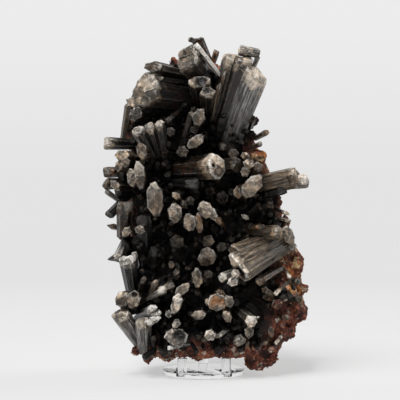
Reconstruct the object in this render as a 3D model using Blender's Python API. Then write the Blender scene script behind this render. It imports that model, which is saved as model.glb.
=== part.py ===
"""A selenite crystal cluster on red-brown matrix, resting on a clear three-peg stand.

Metres, +Z up. The front faces -Y. The origin is the centre of the stand disc's underside.
"""
import math
import random

import bmesh
import bpy
from mathutils import Matrix, Vector, noise

MM = 0.001
GAP = 0.3          # air left between neighbouring pieces, mm
ROCK_TRIM = 0.42   # the same, measured level, so that slopes keep the gap too
FLAT_ROCK = math.radians(3.0)       # faces that meet flatter than this become one
FLAT_CRYSTAL = math.radians(4.0)

# Stand: a disc with three upright pegs in blind sockets, mm
DISC_RADIUS = 28.7
DISC_THICK = 3.0
DISC_EDGE = 0.4
DISC_SIDES = 32
PEG_RADIUS = 3.2
PEG_SIDES = 12
PEG_TOP = 13.2
PEG_CHAMFER = 0.5
SOCKET_FLOOR = 0.8
PEG_PLACES = {
    "stand_peg_front_left": (-14.6, -20.0),
    "stand_peg_front_right": (15.4, -20.0),
    "stand_peg_back": (0.0, 24.5),
}

# The front elevation is set out as it looks from this far in front, mm
SIGHT_X = -2.45
SIGHT_Z = 121.0
SIGHT_DISTANCE = 780.0

# Matrix: one slab of rock, by level: height, left edge, right edge, front face, back face, mm
ROCK_LEVELS = [
    (PEG_TOP + GAP, -44.0, 46.0, -24.0, 31.0),
    (17.0, -48.5, 53.5, -25.5, 33.5),
    (22.0, -49.0, 56.0, -26.0, 35.0),
    (27.0, -48.0, 59.0, -25.0, 36.0),
    (32.0, -46.0, 63.5, -24.0, 37.0),
    (38.0, -46.5, 69.0, -22.5, 38.0),
    (45.0, -47.5, 71.5, -21.0, 38.5),
    (52.0, -48.5, 69.5, -19.5, 37.5),
    (58.0, -48.0, 70.5, -18.5, 38.0),
    (64.0, -47.0, 68.0, -17.5, 39.0),
    (71.0, -47.5, 69.0, -16.5, 39.0),
    (78.0, -49.0, 69.5, -15.5, 38.0),
    (86.0, -50.0, 66.5, -14.5, 38.5),
    (94.0, -51.0, 62.0, -13.5, 38.0),
    (102.0, -51.5, 58.5, -12.5, 37.0),
    (110.0, -52.0, 55.0, -12.0, 37.0),
    (118.0, -52.5, 53.5, -11.5, 36.0),
    (126.0, -53.0, 52.5, -11.0, 35.0),
    (134.0, -53.0, 49.5, -10.5, 35.5),
    (142.0, -52.5, 45.5, -10.0, 34.5),
    (150.0, -52.0, 43.0, -9.0, 33.0),
    (157.0, -52.5, 38.5, -8.5, 32.0),
    (164.0, -55.0, 35.5, -8.0, 31.0),
    (170.0, -57.5, 33.5, -7.0, 30.0),
    (175.0, -57.0, 37.0, -6.0, 29.5),
    (181.0, -52.0, 34.5, -5.5, 28.5),
    (188.0, -44.0, 31.5, -5.0, 27.0),
    (195.0, -39.5, 28.5, -4.0, 25.5),
    (202.0, -35.0, 24.5, -3.0, 23.5),
    (209.0, -30.5, 19.5, -1.5, 21.0),
    (214.5, -26.5, 14.5, 0.5, 18.5),
    (218.5, -23.0, 6.0, 3.5, 15.0),
]
ROCK_EDGE_DEPTH = 8.0     # depth at which the left and right edges lie
ROCK_BACK_SIDES = 15
ROCK_FRONT_SIDES = 7
ROCK_SQUARENESS = 0.62
ROCK_RELIEF = 2.6
ROCK_EDGE_RELIEF = 0.7
ROCK_STEP = 3.2           # height of the ledges on the back

# Lumps grown on the matrix: centre x, y, z, radius x, y, z, mm
ROCK_LUMPS = [
    (38.5, -13.0, 12.0, 11.5, 10.5, 9.6),
    (33.0, -15.0, 8.5, 4.4, 6.5, 5.8),
    (46.5, -9.0, 13.0, 6.0, 9.0, 8.0),
    (-24.5, -17.0, 14.5, 6.8, 6.5, 5.4),
    (-38.0, -13.0, 14.0, 5.0, 7.0, 6.6),
    (-46.5, -6.0, 16.5, 4.0, 7.0, 4.5),
    (-4.0, -21.0, 16.5, 9.0, 5.5, 5.5),
    (64.5, -8.0, 43.5, 8.5, 13.0, 8.5),
    (57.0, -12.0, 30.5, 7.5, 12.0, 7.5),
    (69.5, 4.0, 58.5, 5.2, 7.0, 4.2),
    (66.0, -2.0, 76.0, 5.0, 10.0, 9.0),
    (56.5, 0.0, 104.0, 5.0, 8.0, 6.5),
    (51.5, 2.0, 121.0, 4.5, 8.0, 6.0),
    (37.5, -6.0, 151.0, 7.5, 8.0, 6.5),
    (35.5, 0.0, 176.0, 4.2, 6.0, 4.0),
    (33.5, -1.0, 166.0, 4.6, 6.0, 4.6),
    (-21.5, 6.0, 219.0, 3.2, 4.5, 3.6),
    (13.5, 6.0, 213.5, 4.5, 6.0, 3.4),
]

# Crystals, by clump: the front elevation's x and z with the depth y, mm


def prism(tip, root, wide, thick, turn=None, end="blunt", lean=(0.0, 0.0)):
    """One crystal: tip and root as (x, y, z), width, thickness and how it ends.

    turn is the direction of its width in the front elevation, in degrees from +X;
    without it the width lies square to the crystal's own direction.
    lean slopes the end: its rise for each mm along the width and through the thickness.
    """
    return dict(tip=tip, root=root, wide=wide, thick=thick, turn=turn, end=end, lean=lean)


# Blades and blocks grown into the matrix and fused to it
ROCK_BLADES = [
    prism((46.2, -27, 15.2), (56, -8, 26), 3.8, 5, end="chisel"),
    prism((57.4, -25, 38.6), (58, -4, 39), 5.4, 5, turn=80, end="broken"),
    prism((47.2, -30, 28.8), (48, -8, 29), 8.4, 3.6, turn=95, end="broken"),
    prism((61.4, -20, 58.0), (58, 0, 57), 10.0, 7.0, turn=-60, end="broken"),
    prism((73.4, -4, 58.8), (60, 6, 58), 4.6, 7, end="point"),
    prism((51.4, -28, 48.4), (53, -8, 47), 8.6, 6.4, turn=20, end="broken"),
]

CLUMPS = {
    "crystal_finial": [
        prism((-3.4, 2, 234.6), (7.5, 8, 210), 4.6, 4.2, end="broken"),
        prism((-10.0, 1, 233.4), (-2.0, 3, 232.6), 3.8, 3.6, end="broken"),
        prism((9.4, 4, 226), (4.5, 9, 211), 4.8, 4.0, end="chisel"),
    ],
    "crystal_crown": [
        prism((-12.5, -26, 221.0), (8, 0, 198), 20, 14, end="slant", lean=(0.25, 0.2)),
        prism((-15.0, -22, 226.0), (2, 0, 205), 9, 10),
        prism((-5.6, -19, 230.6), (15.5, 0, 202), 4.6, 11, end="chisel"),
        prism((-36.6, -24, 214.6), (-2, 0, 207), 8.8, 13, end="slant", lean=(-0.2, 0.5)),
    ],
    "crystal_pillows": [
        prism((-3.2, -36, 204.8), (0, -2, 188), 16.5, 8.8, turn=3),
        prism((2.8, -38, 197.0), (3, -3, 182), 10.5, 8.4, turn=12),
    ],
    "crystal_shoulder": [
        prism((-44.0, -22, 198.6), (-8, 0, 193.5), 27, 19, end="slant", lean=(-0.35, 0.4)),
        prism((-34.0, -25, 205.4), (-10, -3, 202.5), 6.6, 13, end="blunt"),
        prism((-50.5, -19, 189.8), (-12, 0, 186.5), 8.0, 14, end="blunt"),
        prism((-25.5, -21, 175.4), (-13, -4, 187), 5.0, 8, end="chisel"),
    ],
    "crystal_tower": [
        prism((36.8, -20, 213.0), (13, 0, 150), 19, 17, end="slant", lean=(-0.4, 0.15)),
        prism((29.0, -24, 223.0), (7, -1, 156), 11, 13, end="slant", lean=(0.2, 0.1)),
        prism((19.8, -21, 224.2), (4, 0, 166), 11.0, 13, end="slant", lean=(0.25, 0.1)),
        prism((15.6, -22, 212.5), (5, -1, 176), 4.6, 8, end="chisel"),
        prism((11.8, -25, 203.0), (5, -2, 172), 4.2, 7, end="chisel"),
        prism((24.6, -21, 226.8), (38.6, -17, 224.6), 6.4, 9, end="blunt"),
        prism((38.2, -18, 222.0), (33.5, -12, 210), 4.2, 6, end="broken"),
        prism((21.0, -30, 153.0), (19, -2, 158), 8.2, 6.6, turn=5),
        prism((13.6, -26, 156.6), (13, -2, 162), 6.2, 5.8, turn=30, end="point"),
    ],
    "crystal_left_lath": [
        prism((-51.8, -14, 188.0), (-56.0, 4, 162), 7.2, 6, end="broken"),
    ],
    "crystal_left_pad": [
        prism((-48.0, -28, 181.2), (-40, 0, 178), 12.4, 11.5, turn=-30),
    ],
    "crystal_fingers": [
        prism((-46.6, -29, 170.6), (-33, -3, 146), 10.0, 8.0),
        prism((-38.6, -33, 174.8), (-30, -3, 148), 7.0, 7.0, end="chisel"),
        prism((-31.0, -31, 175.8), (-26, -3, 144), 8.4, 8.0),
        prism((-43.3, -36, 155.2), (-38, -2, 152), 12.6, 7.0, turn=97),
    ],
    "crystal_brown_button": [
        prism((-23.0, -29, 168.8), (-20, -2, 166), 7.5, 6.6, turn=20),
    ],
    "crystal_comma": [
        prism((-3.4, -40, 179.0), (-3, -2, 175), 10.4, 12.4, turn=-15),
        prism((-8.0, -38, 182.0), (-13.2, -24, 166), 4.6, 5.0, end="broken"),
    ],
    "crystal_chip": [
        prism((-5.6, -42, 162.3), (-4, -2, 161), 14.0, 7.2, turn=42),
    ],
    "crystal_dim_button": [
        prism((-15.0, -27, 155.0), (-13, -2, 153), 9.4, 8.0, turn=10, end="broken"),
    ],
    "crystal_thumb": [
        prism((-69.6, -18, 160.8), (-40, 4, 160), 9.2, 9.0),
    ],
    "crystal_left_blocks": [
        prism((-57.4, -28, 152.4), (-46, 2, 150), 11.8, 6.6, turn=2, end="broken"),
        prism((-55.2, -31, 146.8), (-45, 2, 146), 8.4, 7.4, turn=15),
        prism((-59.6, -26, 144.8), (-46, 2, 146), 10.4, 6.2, turn=80),
    ],
    "crystal_double_tablet": [
        prism((-44.9, -40, 138.8), (-39, -2, 137), 20.4, 7.4, turn=99),
        prism((-50.6, -36, 136.6), (-43, -2, 136), 13.4, 7.6, turn=96),
    ],
    "crystal_bud_upper": [
        prism((-69.8, -14, 140.4), (-46, 6, 141), 8.0, 8.4, end="chisel"),
    ],
    "crystal_bud_lower": [
        prism((-69.4, -15, 132.2), (-48, 5, 133), 8.4, 6.0, turn=86),
        prism((-62.5, -28, 131.2), (-49, 2, 131), 10.6, 6.0, turn=-48),
    ],
    "crystal_dark_lath": [
        prism((-66.4, -18, 109.8), (-47, 4, 130), 7.0, 6.4, end="broken"),
        prism((-68.6, -13, 127.6), (-57, -6, 119), 4.2, 5.0, end="chisel"),
    ],
    "crystal_claw": [
        prism((-54.6, -27, 120.2), (-56.0, 0, 96), 12.4, 10, end="chisel"),
        prism((-50.4, -24, 119.0), (-51.5, -4, 100), 3.4, 5, end="chisel"),
        prism((-67.4, -8, 103.4), (-54, 2, 100), 4.4, 5, end="point"),
        prism((-54.0, -31, 98.6), (-55, 0, 99), 9.0, 5.6, turn=56),
    ],
    "crystal_big_pale": [
        prism((-34.0, -46, 122.2), (-32, -3, 121), 24.2, 10.6, turn=95, end="chisel"),
    ],
    "crystal_oval": [
        prism((-20.0, -45, 111.8), (-19, -3, 113), 14.6, 9.4, turn=99),
    ],
    "crystal_twin_hex": [
        prism((1.2, -43, 114.0), (1, -3, 117), 12.4, 9.0, turn=112),
        prism((6.4, -40, 110.8), (5, -3, 115), 11.0, 6.0, turn=114),
    ],
    "crystal_tooth": [
        prism((-10.0, -43, 105.6), (-8, -4, 106), 12.6, 8.4, turn=102, end="slant", lean=(0.0, 0.2)),
        prism((-3.2, -37, 104.6), (-3, -4, 106), 15.0, 5.4, turn=96, end="broken"),
    ],
    "crystal_clutter": [
        prism((-19.4, -30, 124.0), (-14.5, -3, 122), 8.0, 4.6, turn=-35),
        prism((-9.0, -30, 120.4), (-13.5, -3, 122), 6.0, 6.4, turn=10, end="broken"),
        prism((-13.6, -27, 117.6), (-14, -3, 121.5), 8.0, 5.0, turn=-50),
    ],
    "crystal_post": [
        prism((10.4, -44, 144.6), (-22, -3, 142), 18.4, 13.4, turn=94),
        prism((-4.0, -34, 131.6), (-24, -3, 133), 9.6, 14, end="chisel"),
        prism((24.6, -31, 145.6), (-18, -4, 142), 11.6, 10, end="slant", lean=(0.2, 0.3)),
    ],
    "crystal_white_clump": [
        prism((31.6, -32, 146.0), (33.4, -1, 148.2), 8.4, 5.4, turn=-20, end="broken"),
        prism((38.0, -30, 144.0), (36.6, -2, 146), 7.0, 6.4, turn=25),
        prism((29.0, -33, 140.6), (32, -1, 144.4), 7.4, 6.4, turn=4, end="broken"),
        prism((29.0, -27, 151.8), (31, -1, 150.6), 6.0, 6.6, turn=60, end="broken"),
    ],
    "crystal_branch": [
        prism((66.4, -22, 136.6), (30, 0, 128), 14.6, 14, end="blunt"),
        prism((73.4, -22, 134.8), (52, -14, 132), 10.6, 10, end="blunt"),
        prism((64.4, -20, 141.8), (40, -4, 137), 5.4, 10, end="chisel"),
        prism((58.0, -20, 128.6), (34, -2, 122), 6.4, 10, end="chisel"),
        prism((33.6, -47, 130.8), (36, -4, 134), 19.6, 11.0, turn=50),
        prism((23.6, -40, 126.0), (30, -4, 130), 9.6, 5.6, turn=100, end="broken"),
    ],
    "crystal_deep_pair": [
        prism((13.4, -22, 122.4), (8, 0, 126), 10.6, 9, turn=-40),
        prism((4.6, -20, 126.8), (6, 0, 128), 8.8, 6.4, turn=-20, end="broken"),
    ],
    "crystal_brown_lath": [
        prism((9.6, -26, 108.0), (17.6, -2, 96), 5.0, 6, end="chisel"),
    ],
    "crystal_flake": [
        prism((29.0, -24, 109.0), (31, 0, 111), 6.6, 3.4, turn=-28, end="broken"),
    ],
    "crystal_band": [
        prism((54.4, -30, 98.2), (18, -3, 99), 10.4, 9, end="slant", lean=(0.2, 0.4)),
        prism((40.4, -27, 102.6), (26, -8, 102), 5.0, 8, end="broken"),
    ],
    "crystal_edge_plate": [
        prism((60.6, -16, 96.0), (50, 4, 95), 15.4, 8.0, turn=-64),
        prism((63.0, -13, 88.2), (52, 4, 88), 8.4, 4.6, turn=8, end="broken"),
    ],
    "crystal_wedge": [
        prism((23.6, -43, 72.6), (56, -7, 92), 23.0, 15, end="slant", lean=(0.1, -0.5)),
        prism((20.6, -37, 84.6), (50, -8, 97), 10.0, 14, end="slant", lean=(0.1, -0.4)),
    ],
    "crystal_glassy_bits": [
        prism((11.6, -41, 66.0), (26, -8, 72), 7.6, 7, end="chisel"),
        prism((20.4, -40, 63.4), (24, -8, 69), 9.0, 6, turn=20, end="broken"),
        prism((22.6, -43, 69.4), (27, -8, 73), 7.0, 6, turn=60, end="broken"),
    ],
    "crystal_inner_lath": [
        prism((37.0, -36, 62.8), (59, -2, 76), 6.4, 6, end="chisel"),
    ],
    "crystal_cross_laths": [
        prism((42.4, -31, 58.6), (56, -8, 48), 4.8, 6, end="broken"),
        prism((43.4, -28, 52.6), (52, -15, 51), 4.2, 5, end="broken"),
    ],
    "crystal_deep_group": [
        prism((2.6, -30, 80.6), (3, -4, 85), 14.6, 13.0, turn=85),
        prism((3.0, -26, 93.2), (3, -4, 91), 9.6, 8.6, turn=80),
        prism((13.0, -28, 88.0), (7, -4, 88), 8.8, 7.0, turn=-15),
    ],
    "crystal_dim_block": [
        prism((-18.8, -27, 91.6), (-17, -4, 93), 11.4, 10.0, turn=95, end="broken"),
    ],
    "crystal_lower_pair": [
        prism((-4.4, -37, 66.4), (-3, -6, 70), 14.2, 7.2, turn=92),
        prism((3.4, -31, 69.0), (-1.5, -6, 71), 7.2, 6.2, turn=20),
    ],
    "crystal_small_pair": [
        prism((-22.4, -29, 75.8), (-20, -6, 77), 6.6, 4.6, turn=112),
        prism((-19.0, -31, 68.6), (-18, -6, 72), 9.2, 4.8, turn=96),
    ],
    "crystal_grey_lath": [
        prism((-60.0, -18, 79.8), (-53, 4, 96), 7.6, 7, end="broken"),
        prism((-67.6, -15, 79.4), (-50, -3, 84), 6.4, 9, end="point"),
    ],
    "crystal_white_fan": [
        prism((-53.6, -33, 78.6), (-50, -4, 58), 10.8, 8.4, end="chisel"),
        prism((-48.8, -30, 84.0), (-49.5, -6, 62), 4.6, 8, end="chisel"),
    ],
    "crystal_dark_panel": [
        prism((-42.0, -24, 110.0), (-40, -2, 68), 11.0, 10, end="chisel"),
        prism((-33.6, -23, 88.0), (-37, -4, 66), 8.4, 9, end="chisel"),
        prism((-44.4, -34, 100.2), (-41, -4, 99), 8.8, 5.6, turn=-20),
    ],
    "crystal_jagged": [
        prism((-27.0, -42, 58.8), (-41, -12, 51), 6.4, 7, end="broken"),
        prism((-32.6, -38, 64.6), (-38, -12, 52), 6.0, 7, end="point"),
        prism((-21.0, -36, 61.6), (-36, -14, 56), 5.2, 7, end="blunt"),
        prism((-42.0, -32, 65.4), (-45, -8, 54), 4.6, 7, end="broken"),
        prism((-57.8, -34, 51.8), (-45, -4, 52), 12.4, 10.4, turn=60),
        prism((-49.4, -36, 51.0), (-43, -8, 52), 13.4, 10.0, turn=70),
    ],
    "crystal_bright_pair": [
        prism((-19.2, -46, 48.6), (-15, -10, 51), 15.6, 7.0, turn=72),
        prism((-24.6, -44, 41.0), (-17, -10, 46), 5.0, 5.0, turn=20, end="broken"),
        prism((-14.8, -42, 58.6), (-13, -8, 56), 12.4, 6.0, turn=36),
    ],
    "crystal_big_slab": [
        prism((-58.2, -32, 41.4), (-44, -6, 21), 13.4, 11, end="slant", lean=(-0.15, 0.15)),
    ],
    "crystal_broom": [
        prism((-33.0, -40, 46.0), (-46, -10, 40), 4.4, 7, end="point"),
        prism((-29.6, -40, 42.2), (-46, -10, 39), 4.6, 8, end="point"),
        prism((-30.2, -40, 38.4), (-46, -10, 37), 4.6, 7, end="point"),
        prism((-35.4, -40, 35.2), (-46, -10, 36), 3.8, 8, end="point"),
        prism((-42.4, -35, 36.4), (-41, -14, 15), 11.6, 10, end="slant", lean=(0.3, 0.1)),
        prism((-35.4, -28, 25.0), (-35.4, -16, 13), 4.6, 7, end="chisel"),
    ],
    "crystal_hollow_hex": [
        prism((-19.4, -40, 24.8), (-16, -14, 27), 16.4, 12.4, turn=-8),
        prism((-25.4, -38, 17.2), (-1, -14, 22.5), 3.6, 6, end="chisel"),
        prism((-19.2, -40, 34.6), (-17, -14, 29), 8.2, 5.2, turn=62, end="broken"),
    ],
    "crystal_foot_hex": [
        prism((4.4, -42, 26.2), (5, -14, 30), 9.2, 7.8, turn=10),
        prism((10.0, -38, 25.4), (22.5, -14, 34), 3.4, 6, end="broken"),
    ],
    "crystal_flat_hex": [
        prism((-3.2, -42, 40.4), (-2, -10, 44), 11.6, 6.4, turn=4),
    ],
    "crystal_orange_cluster": [
        prism((9.6, -41, 49.4), (8, -10, 52), 12.6, 11.6, turn=20, end="broken"),
        prism((18.0, -43, 49.8), (15, -10, 53), 10.0, 6.4, turn=112),
        prism((3.4, -37, 49.4), (4, -10, 52), 6.0, 4.6, turn=70),
        prism((12.0, -37, 56.0), (10, -10, 56), 7.6, 4.4, turn=-15, end="broken"),
        prism((16.8, -40, 38.6), (16, -12, 49), 10.6, 5.6, turn=118),
    ],
    "crystal_striated": [
        prism((34.4, -44, 35.2), (20, -10, 48), 9.8, 8, end="slant", lean=(0.2, 0.2)),
        prism((39.2, -40, 39.0), (32, -26, 37), 2.8, 3, end="point"),
    ],
    "crystal_grey_block": [
        prism((31.8, -38, 28.2), (33, -12, 31), 9.4, 6.4, turn=92),
    ],
    "crystal_pyramid": [
        prism((23.6, -39, 19.4), (27, -14, 27), 11.6, 8.6, end="point"),
    ],
}

# How each end is cut: cap height as a share of the thickness, cap width and depth kept
ENDS = {
    "blunt": (0.22, 0.80, 0.76),
    "slant": (0.14, 0.90, 0.88),
    "broken": (0.06, 0.92, 0.90),
    "chisel": (0.55, 0.84, 0.16),
    "point": (0.95, 0.18, 0.18),
}
SIDE_SLANT = 0.27         # share of the width taken by each slanting side face
ROOT_TAPER = 0.80         # root size against tip size
CRYSTAL_WOBBLE = 0.05
WIDE_CRYSTAL = 12.0       # wider crystals get two more side faces, mm
CRYSTAL_SEED = 5
BLADE_NUMBER = 500        # numbers for the rock's blades, clear of the clumps' own

# Colour, roughness and metallic of each finish
FINISHES = {
    "selenite": ((0.20, 0.19, 0.18), 0.35, 0.0),
    "matrix_rock": ((0.22, 0.09, 0.06), 0.9, 0.0),
    "clear_acrylic": ((0.90, 0.92, 0.93), 0.08, 0.0),
}


def clear_scene():
    for thing in list(bpy.data.objects):
        bpy.data.objects.remove(thing, do_unlink=True)


def finish(name):
    """The material of that name, made the first time it is asked for."""
    made = bpy.data.materials.get(name)
    if made:
        return made
    colour, roughness, metallic = FINISHES[name]
    made = bpy.data.materials.new(name)
    made.use_nodes = True
    shader = made.node_tree.nodes["Principled BSDF"]
    shader.inputs["Base Color"].default_value = (*colour, 1.0)
    shader.inputs["Roughness"].default_value = roughness
    shader.inputs["Metallic"].default_value = metallic
    return made


def to_object(name, shape, material):
    """Put a bmesh into the scene as one named object in one material."""
    mesh = bpy.data.meshes.new(name)
    shape.to_mesh(mesh)
    shape.free()
    thing = bpy.data.objects.new(name, mesh)
    thing.data.materials.append(finish(material))
    bpy.context.scene.collection.objects.link(thing)
    return thing


def apply_boolean(thing, other, operation):
    """Join to or cut from a thing, then remove the other one."""
    cut = thing.modifiers.new("cut", "BOOLEAN")
    cut.operation = operation
    cut.solver = "EXACT"
    cut.object = other
    graph = bpy.context.evaluated_depsgraph_get()
    made = bpy.data.meshes.new_from_object(thing.evaluated_get(graph))
    thing.modifiers.remove(cut)
    spent = thing.data
    thing.data = made
    bpy.data.meshes.remove(spent)
    bpy.data.objects.remove(other, do_unlink=True)


def box_of(thing):
    """The lowest and highest corner of a thing."""
    places = [vert.co for vert in thing.data.vertices]
    low = [min(place[axis] for place in places) for axis in range(3)]
    high = [max(place[axis] for place in places) for axis in range(3)]
    return low, high


def boxes_meet(one, other):
    """True where two boxes overlap."""
    return all(one[0][k] < other[1][k] and other[0][k] < one[1][k] for k in range(3))


def skin_rings(rings):
    """A closed shape from rings of points, bridged one after another and capped."""
    shape = bmesh.new()
    made = [[shape.verts.new(point) for point in ring] for ring in rings]
    for low, high in zip(made, made[1:]):
        for step in range(len(low)):
            after = (step + 1) % len(low)
            shape.faces.new((low[step], low[after], high[after]))
            shape.faces.new((low[step], high[after], high[step]))
    shape.faces.new(made[0][::-1])
    shape.faces.new(made[-1])
    return shape


def islands(shape):
    """The separate bodies in a bmesh, as lists of faces."""
    left = set(shape.faces)
    found = []
    while left:
        seed = left.pop()
        body = [seed]
        edge_of_search = [seed]
        while edge_of_search:
            face = edge_of_search.pop()
            for edge in face.edges:
                for other in edge.link_faces:
                    if other in left:
                        left.discard(other)
                        body.append(other)
                        edge_of_search.append(other)
        found.append(body)
    return found


def keep_largest_body(thing, flat_enough):
    """Drop the crumbs that a cut leaves and close up slivers."""
    shape = bmesh.new()
    shape.from_mesh(thing.data)
    bmesh.ops.remove_doubles(shape, verts=shape.verts, dist=0.02 * MM)
    bmesh.ops.dissolve_degenerate(shape, edges=shape.edges, dist=0.01 * MM)
    bodies = sorted(islands(shape), key=lambda body: sum(f.calc_area() for f in body))
    for body in bodies[:-1]:
        bmesh.ops.delete(shape, geom=body, context="FACES")
    bmesh.ops.dissolve_limit(
        shape, angle_limit=flat_enough, verts=shape.verts, edges=shape.edges,
        use_dissolve_boundaries=False)
    bmesh.ops.triangulate(shape, faces=shape.faces)
    shape.to_mesh(thing.data)
    shape.free()


# Stand


def round_bar(radius, low, high, sides, chamfer):
    """An upright round bar on the Z axis with its top edge chamfered."""
    bar = bmesh.new()
    bmesh.ops.create_cone(
        bar, cap_ends=True, segments=sides, radius1=radius * MM, radius2=radius * MM,
        depth=(high - low) * MM, matrix=Matrix.Translation((0, 0, (low + high) / 2 * MM)))
    if chamfer:
        rim = [e for e in bar.edges if all(v.co.z > (high - 0.01) * MM for v in e.verts)]
        bmesh.ops.bevel(
            bar, geom=rim, offset=chamfer * MM, offset_type="OFFSET", segments=1,
            affect="EDGES", profile=0.5, material=-1)
    return bar


def make_stand_base():
    disc = to_object(
        "stand_base", round_bar(DISC_RADIUS, 0.0, DISC_THICK, DISC_SIDES, DISC_EDGE),
        "clear_acrylic")
    for x, y in PEG_PLACES.values():
        socket = round_bar(PEG_RADIUS + GAP, SOCKET_FLOOR, DISC_THICK + 1.0, PEG_SIDES, 0.0)
        bmesh.ops.translate(socket, verts=socket.verts, vec=(x * MM, y * MM, 0.0))
        apply_boolean(disc, to_object("socket", socket, "clear_acrylic"), "DIFFERENCE")
    return disc


def make_stand_peg(name):
    x, y = PEG_PLACES[name]
    peg = round_bar(PEG_RADIUS, SOCKET_FLOOR + GAP, PEG_TOP, PEG_SIDES, PEG_CHAMFER)
    bmesh.ops.translate(peg, verts=peg.verts, vec=(x * MM, y * MM, 0.0))
    return to_object(name, peg, "clear_acrylic")


# Matrix


def along_sight(x, y, z):
    """A place of the front elevation, drawn in along its line of sight to depth y."""
    share = (SIGHT_DISTANCE + y) / SIGHT_DISTANCE
    return Vector((SIGHT_X + (x - SIGHT_X) * share, y, SIGHT_Z + (z - SIGHT_Z) * share)) * MM


def rock_ring(level, swell):
    """The points of one level of the slab: a squared oval with its own roughness."""
    z, left, right, front, back = level
    left_edge = along_sight(left, ROCK_EDGE_DEPTH, z).x / MM
    right_edge = along_sight(right, ROCK_EDGE_DEPTH, z).x / MM
    middle = Vector(((left_edge + right_edge) / 2, (front + back) / 2, 0.0))
    half_width = (right_edge - left_edge) / 2
    half_depth = (back - front) / 2
    points = []
    back_turns = [math.pi * step / ROCK_BACK_SIDES for step in range(ROCK_BACK_SIDES)]
    front_turns = [math.pi * (1 + step / ROCK_FRONT_SIDES) for step in range(ROCK_FRONT_SIDES)]
    for angle in back_turns + front_turns:
        across = math.copysign(abs(math.cos(angle)) ** ROCK_SQUARENESS, math.cos(angle))
        through = math.copysign(abs(math.sin(angle)) ** ROCK_SQUARENESS, math.sin(angle))
        spot = middle + Vector((half_width * across, half_depth * through, z))
        facing = Vector((math.cos(angle) * half_depth, math.sin(angle) * half_width, 0.0))
        facing.normalize()
        rough = ROCK_EDGE_RELIEF + ROCK_RELIEF * abs(facing.y)
        wave = noise.fractal(spot * 0.045, 0.8, 2.1, 4)
        ledge = round(noise.noise(Vector((spot.x * 0.02, 3.0, z * 0.045))) * 4) / 4
        spot += facing * rough * wave
        if facing.y > 0.3:
            spot += facing * ROCK_STEP * ledge
        spot += facing * swell
        if level is ROCK_LEVELS[0]:
            spot.z -= swell
        if level is ROCK_LEVELS[-1]:
            spot.z += swell
        points.append(spot * MM)
    return points


def lump_shape(lump, number, rock_swell):
    """A rough rounded lump of rock, a little uneven."""
    x, y, z, radius_x, radius_y, radius_z = lump
    shape = bmesh.new()
    bmesh.ops.create_icosphere(shape, subdivisions=1, radius=1.0)
    for vert in shape.verts:
        uneven = 1.0 + 0.16 * noise.noise(vert.co * 1.7 + Vector((number * 3.1, 0.0, 0.0)))
        vert.co = Vector((
            (x + vert.co.x * (radius_x * uneven + rock_swell)) * MM,
            (y + vert.co.y * (radius_y * uneven + rock_swell)) * MM,
            (z + vert.co.z * (radius_z * uneven + rock_swell)) * MM))
    return shape


def make_rock(name, swell=0.0):
    """The matrix, larger by swell on every side where it serves to trim the crystals."""
    slab = skin_rings([rock_ring(level, swell) for level in ROCK_LEVELS])
    rock = to_object(name, slab, "matrix_rock")
    for number, lump in enumerate(ROCK_LUMPS):
        shape = lump_shape(lump, number, swell)
        apply_boolean(rock, to_object("lump", shape, "matrix_rock"), "UNION")
    for number, row in enumerate(ROCK_BLADES):
        shape = crystal_shape(row, BLADE_NUMBER + number, swell)
        apply_boolean(rock, to_object("blade", shape, "matrix_rock"), "UNION")
    keep_largest_body(rock, FLAT_ROCK)
    return rock


# Crystals


def crystal_section(row, swell, chance):
    """The outline across a crystal: two broad faces and slanting sides."""
    half = row["wide"] / 2 + swell
    deep = row["thick"] / 2 + swell
    edge = SIDE_SLANT * half * 2
    if row["wide"] > WIDE_CRYSTAL:
        side = deep * 0.35
        corners = [
            (-half, -side), (-half + edge, -deep), (half - edge, -deep), (half, -side),
            (half, side), (half - edge, deep), (-half + edge, deep), (-half, side)]
    else:
        corners = [
            (-half, 0.0), (-half + edge, -deep), (half - edge, -deep), (half, 0.0),
            (half - edge, deep), (-half + edge, deep)]
    wobble = CRYSTAL_WOBBLE * row["thick"]
    return [(x + chance.uniform(-wobble, wobble), y + chance.uniform(-wobble, wobble))
            for x, y in corners]


def crystal_frame(row):
    """The matrix that stands a crystal, built up along +Z, where it grows, and its length."""
    tip = along_sight(*row["tip"])
    root = along_sight(*row["root"])
    axis = (tip - root).normalized()
    if row["turn"] is None:
        turn = math.atan2(axis.z, axis.x) - math.pi / 2
    else:
        turn = math.radians(row["turn"])
    wide_way = Vector((math.cos(turn), 0.0, math.sin(turn)))
    wide_way = (wide_way - axis * wide_way.dot(axis)).normalized()
    thick_way = axis.cross(wide_way)
    stand = Matrix((wide_way, thick_way, axis)).transposed().to_4x4()
    return Matrix.Translation(root) @ stand, (tip - root).length


def crystal_shape(row, number, swell=0.0):
    """One crystal as a bmesh, made larger by swell on every side."""
    chance = random.Random(CRYSTAL_SEED * 1000 + number)
    section = crystal_section(row, swell, chance)
    frame, length = crystal_frame(row)
    length = length / MM + swell
    cap_share, keep_wide, keep_thick = ENDS[row["end"]]
    cap = cap_share * min(row["thick"], row["wide"])
    lean_wide, lean_thick = row["lean"]
    rings = []
    for height, scale_wide, scale_thick, leans in (
            (0.0, ROOT_TAPER, ROOT_TAPER, False),
            (length - cap, 1.0, 1.0, True),
            (length, keep_wide, keep_thick, True)):
        ring = []
        for x, y in section:
            x *= scale_wide
            y *= scale_thick
            rise = lean_wide * x + lean_thick * y if leans else 0.0
            ring.append(frame @ (Vector((x, y, height + rise)) * MM))
        rings.append(ring)
    return skin_rings(rings)


def make_clump(name, rows, first_number):
    """The crystals of one clump, joined in one solid."""
    clump = None
    for offset, row in enumerate(rows):
        crystal = to_object(name, crystal_shape(row, first_number + offset), "selenite")
        if clump is None:
            clump = crystal
        else:
            apply_boolean(clump, crystal, "UNION")
    clump.name = name
    return clump


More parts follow.
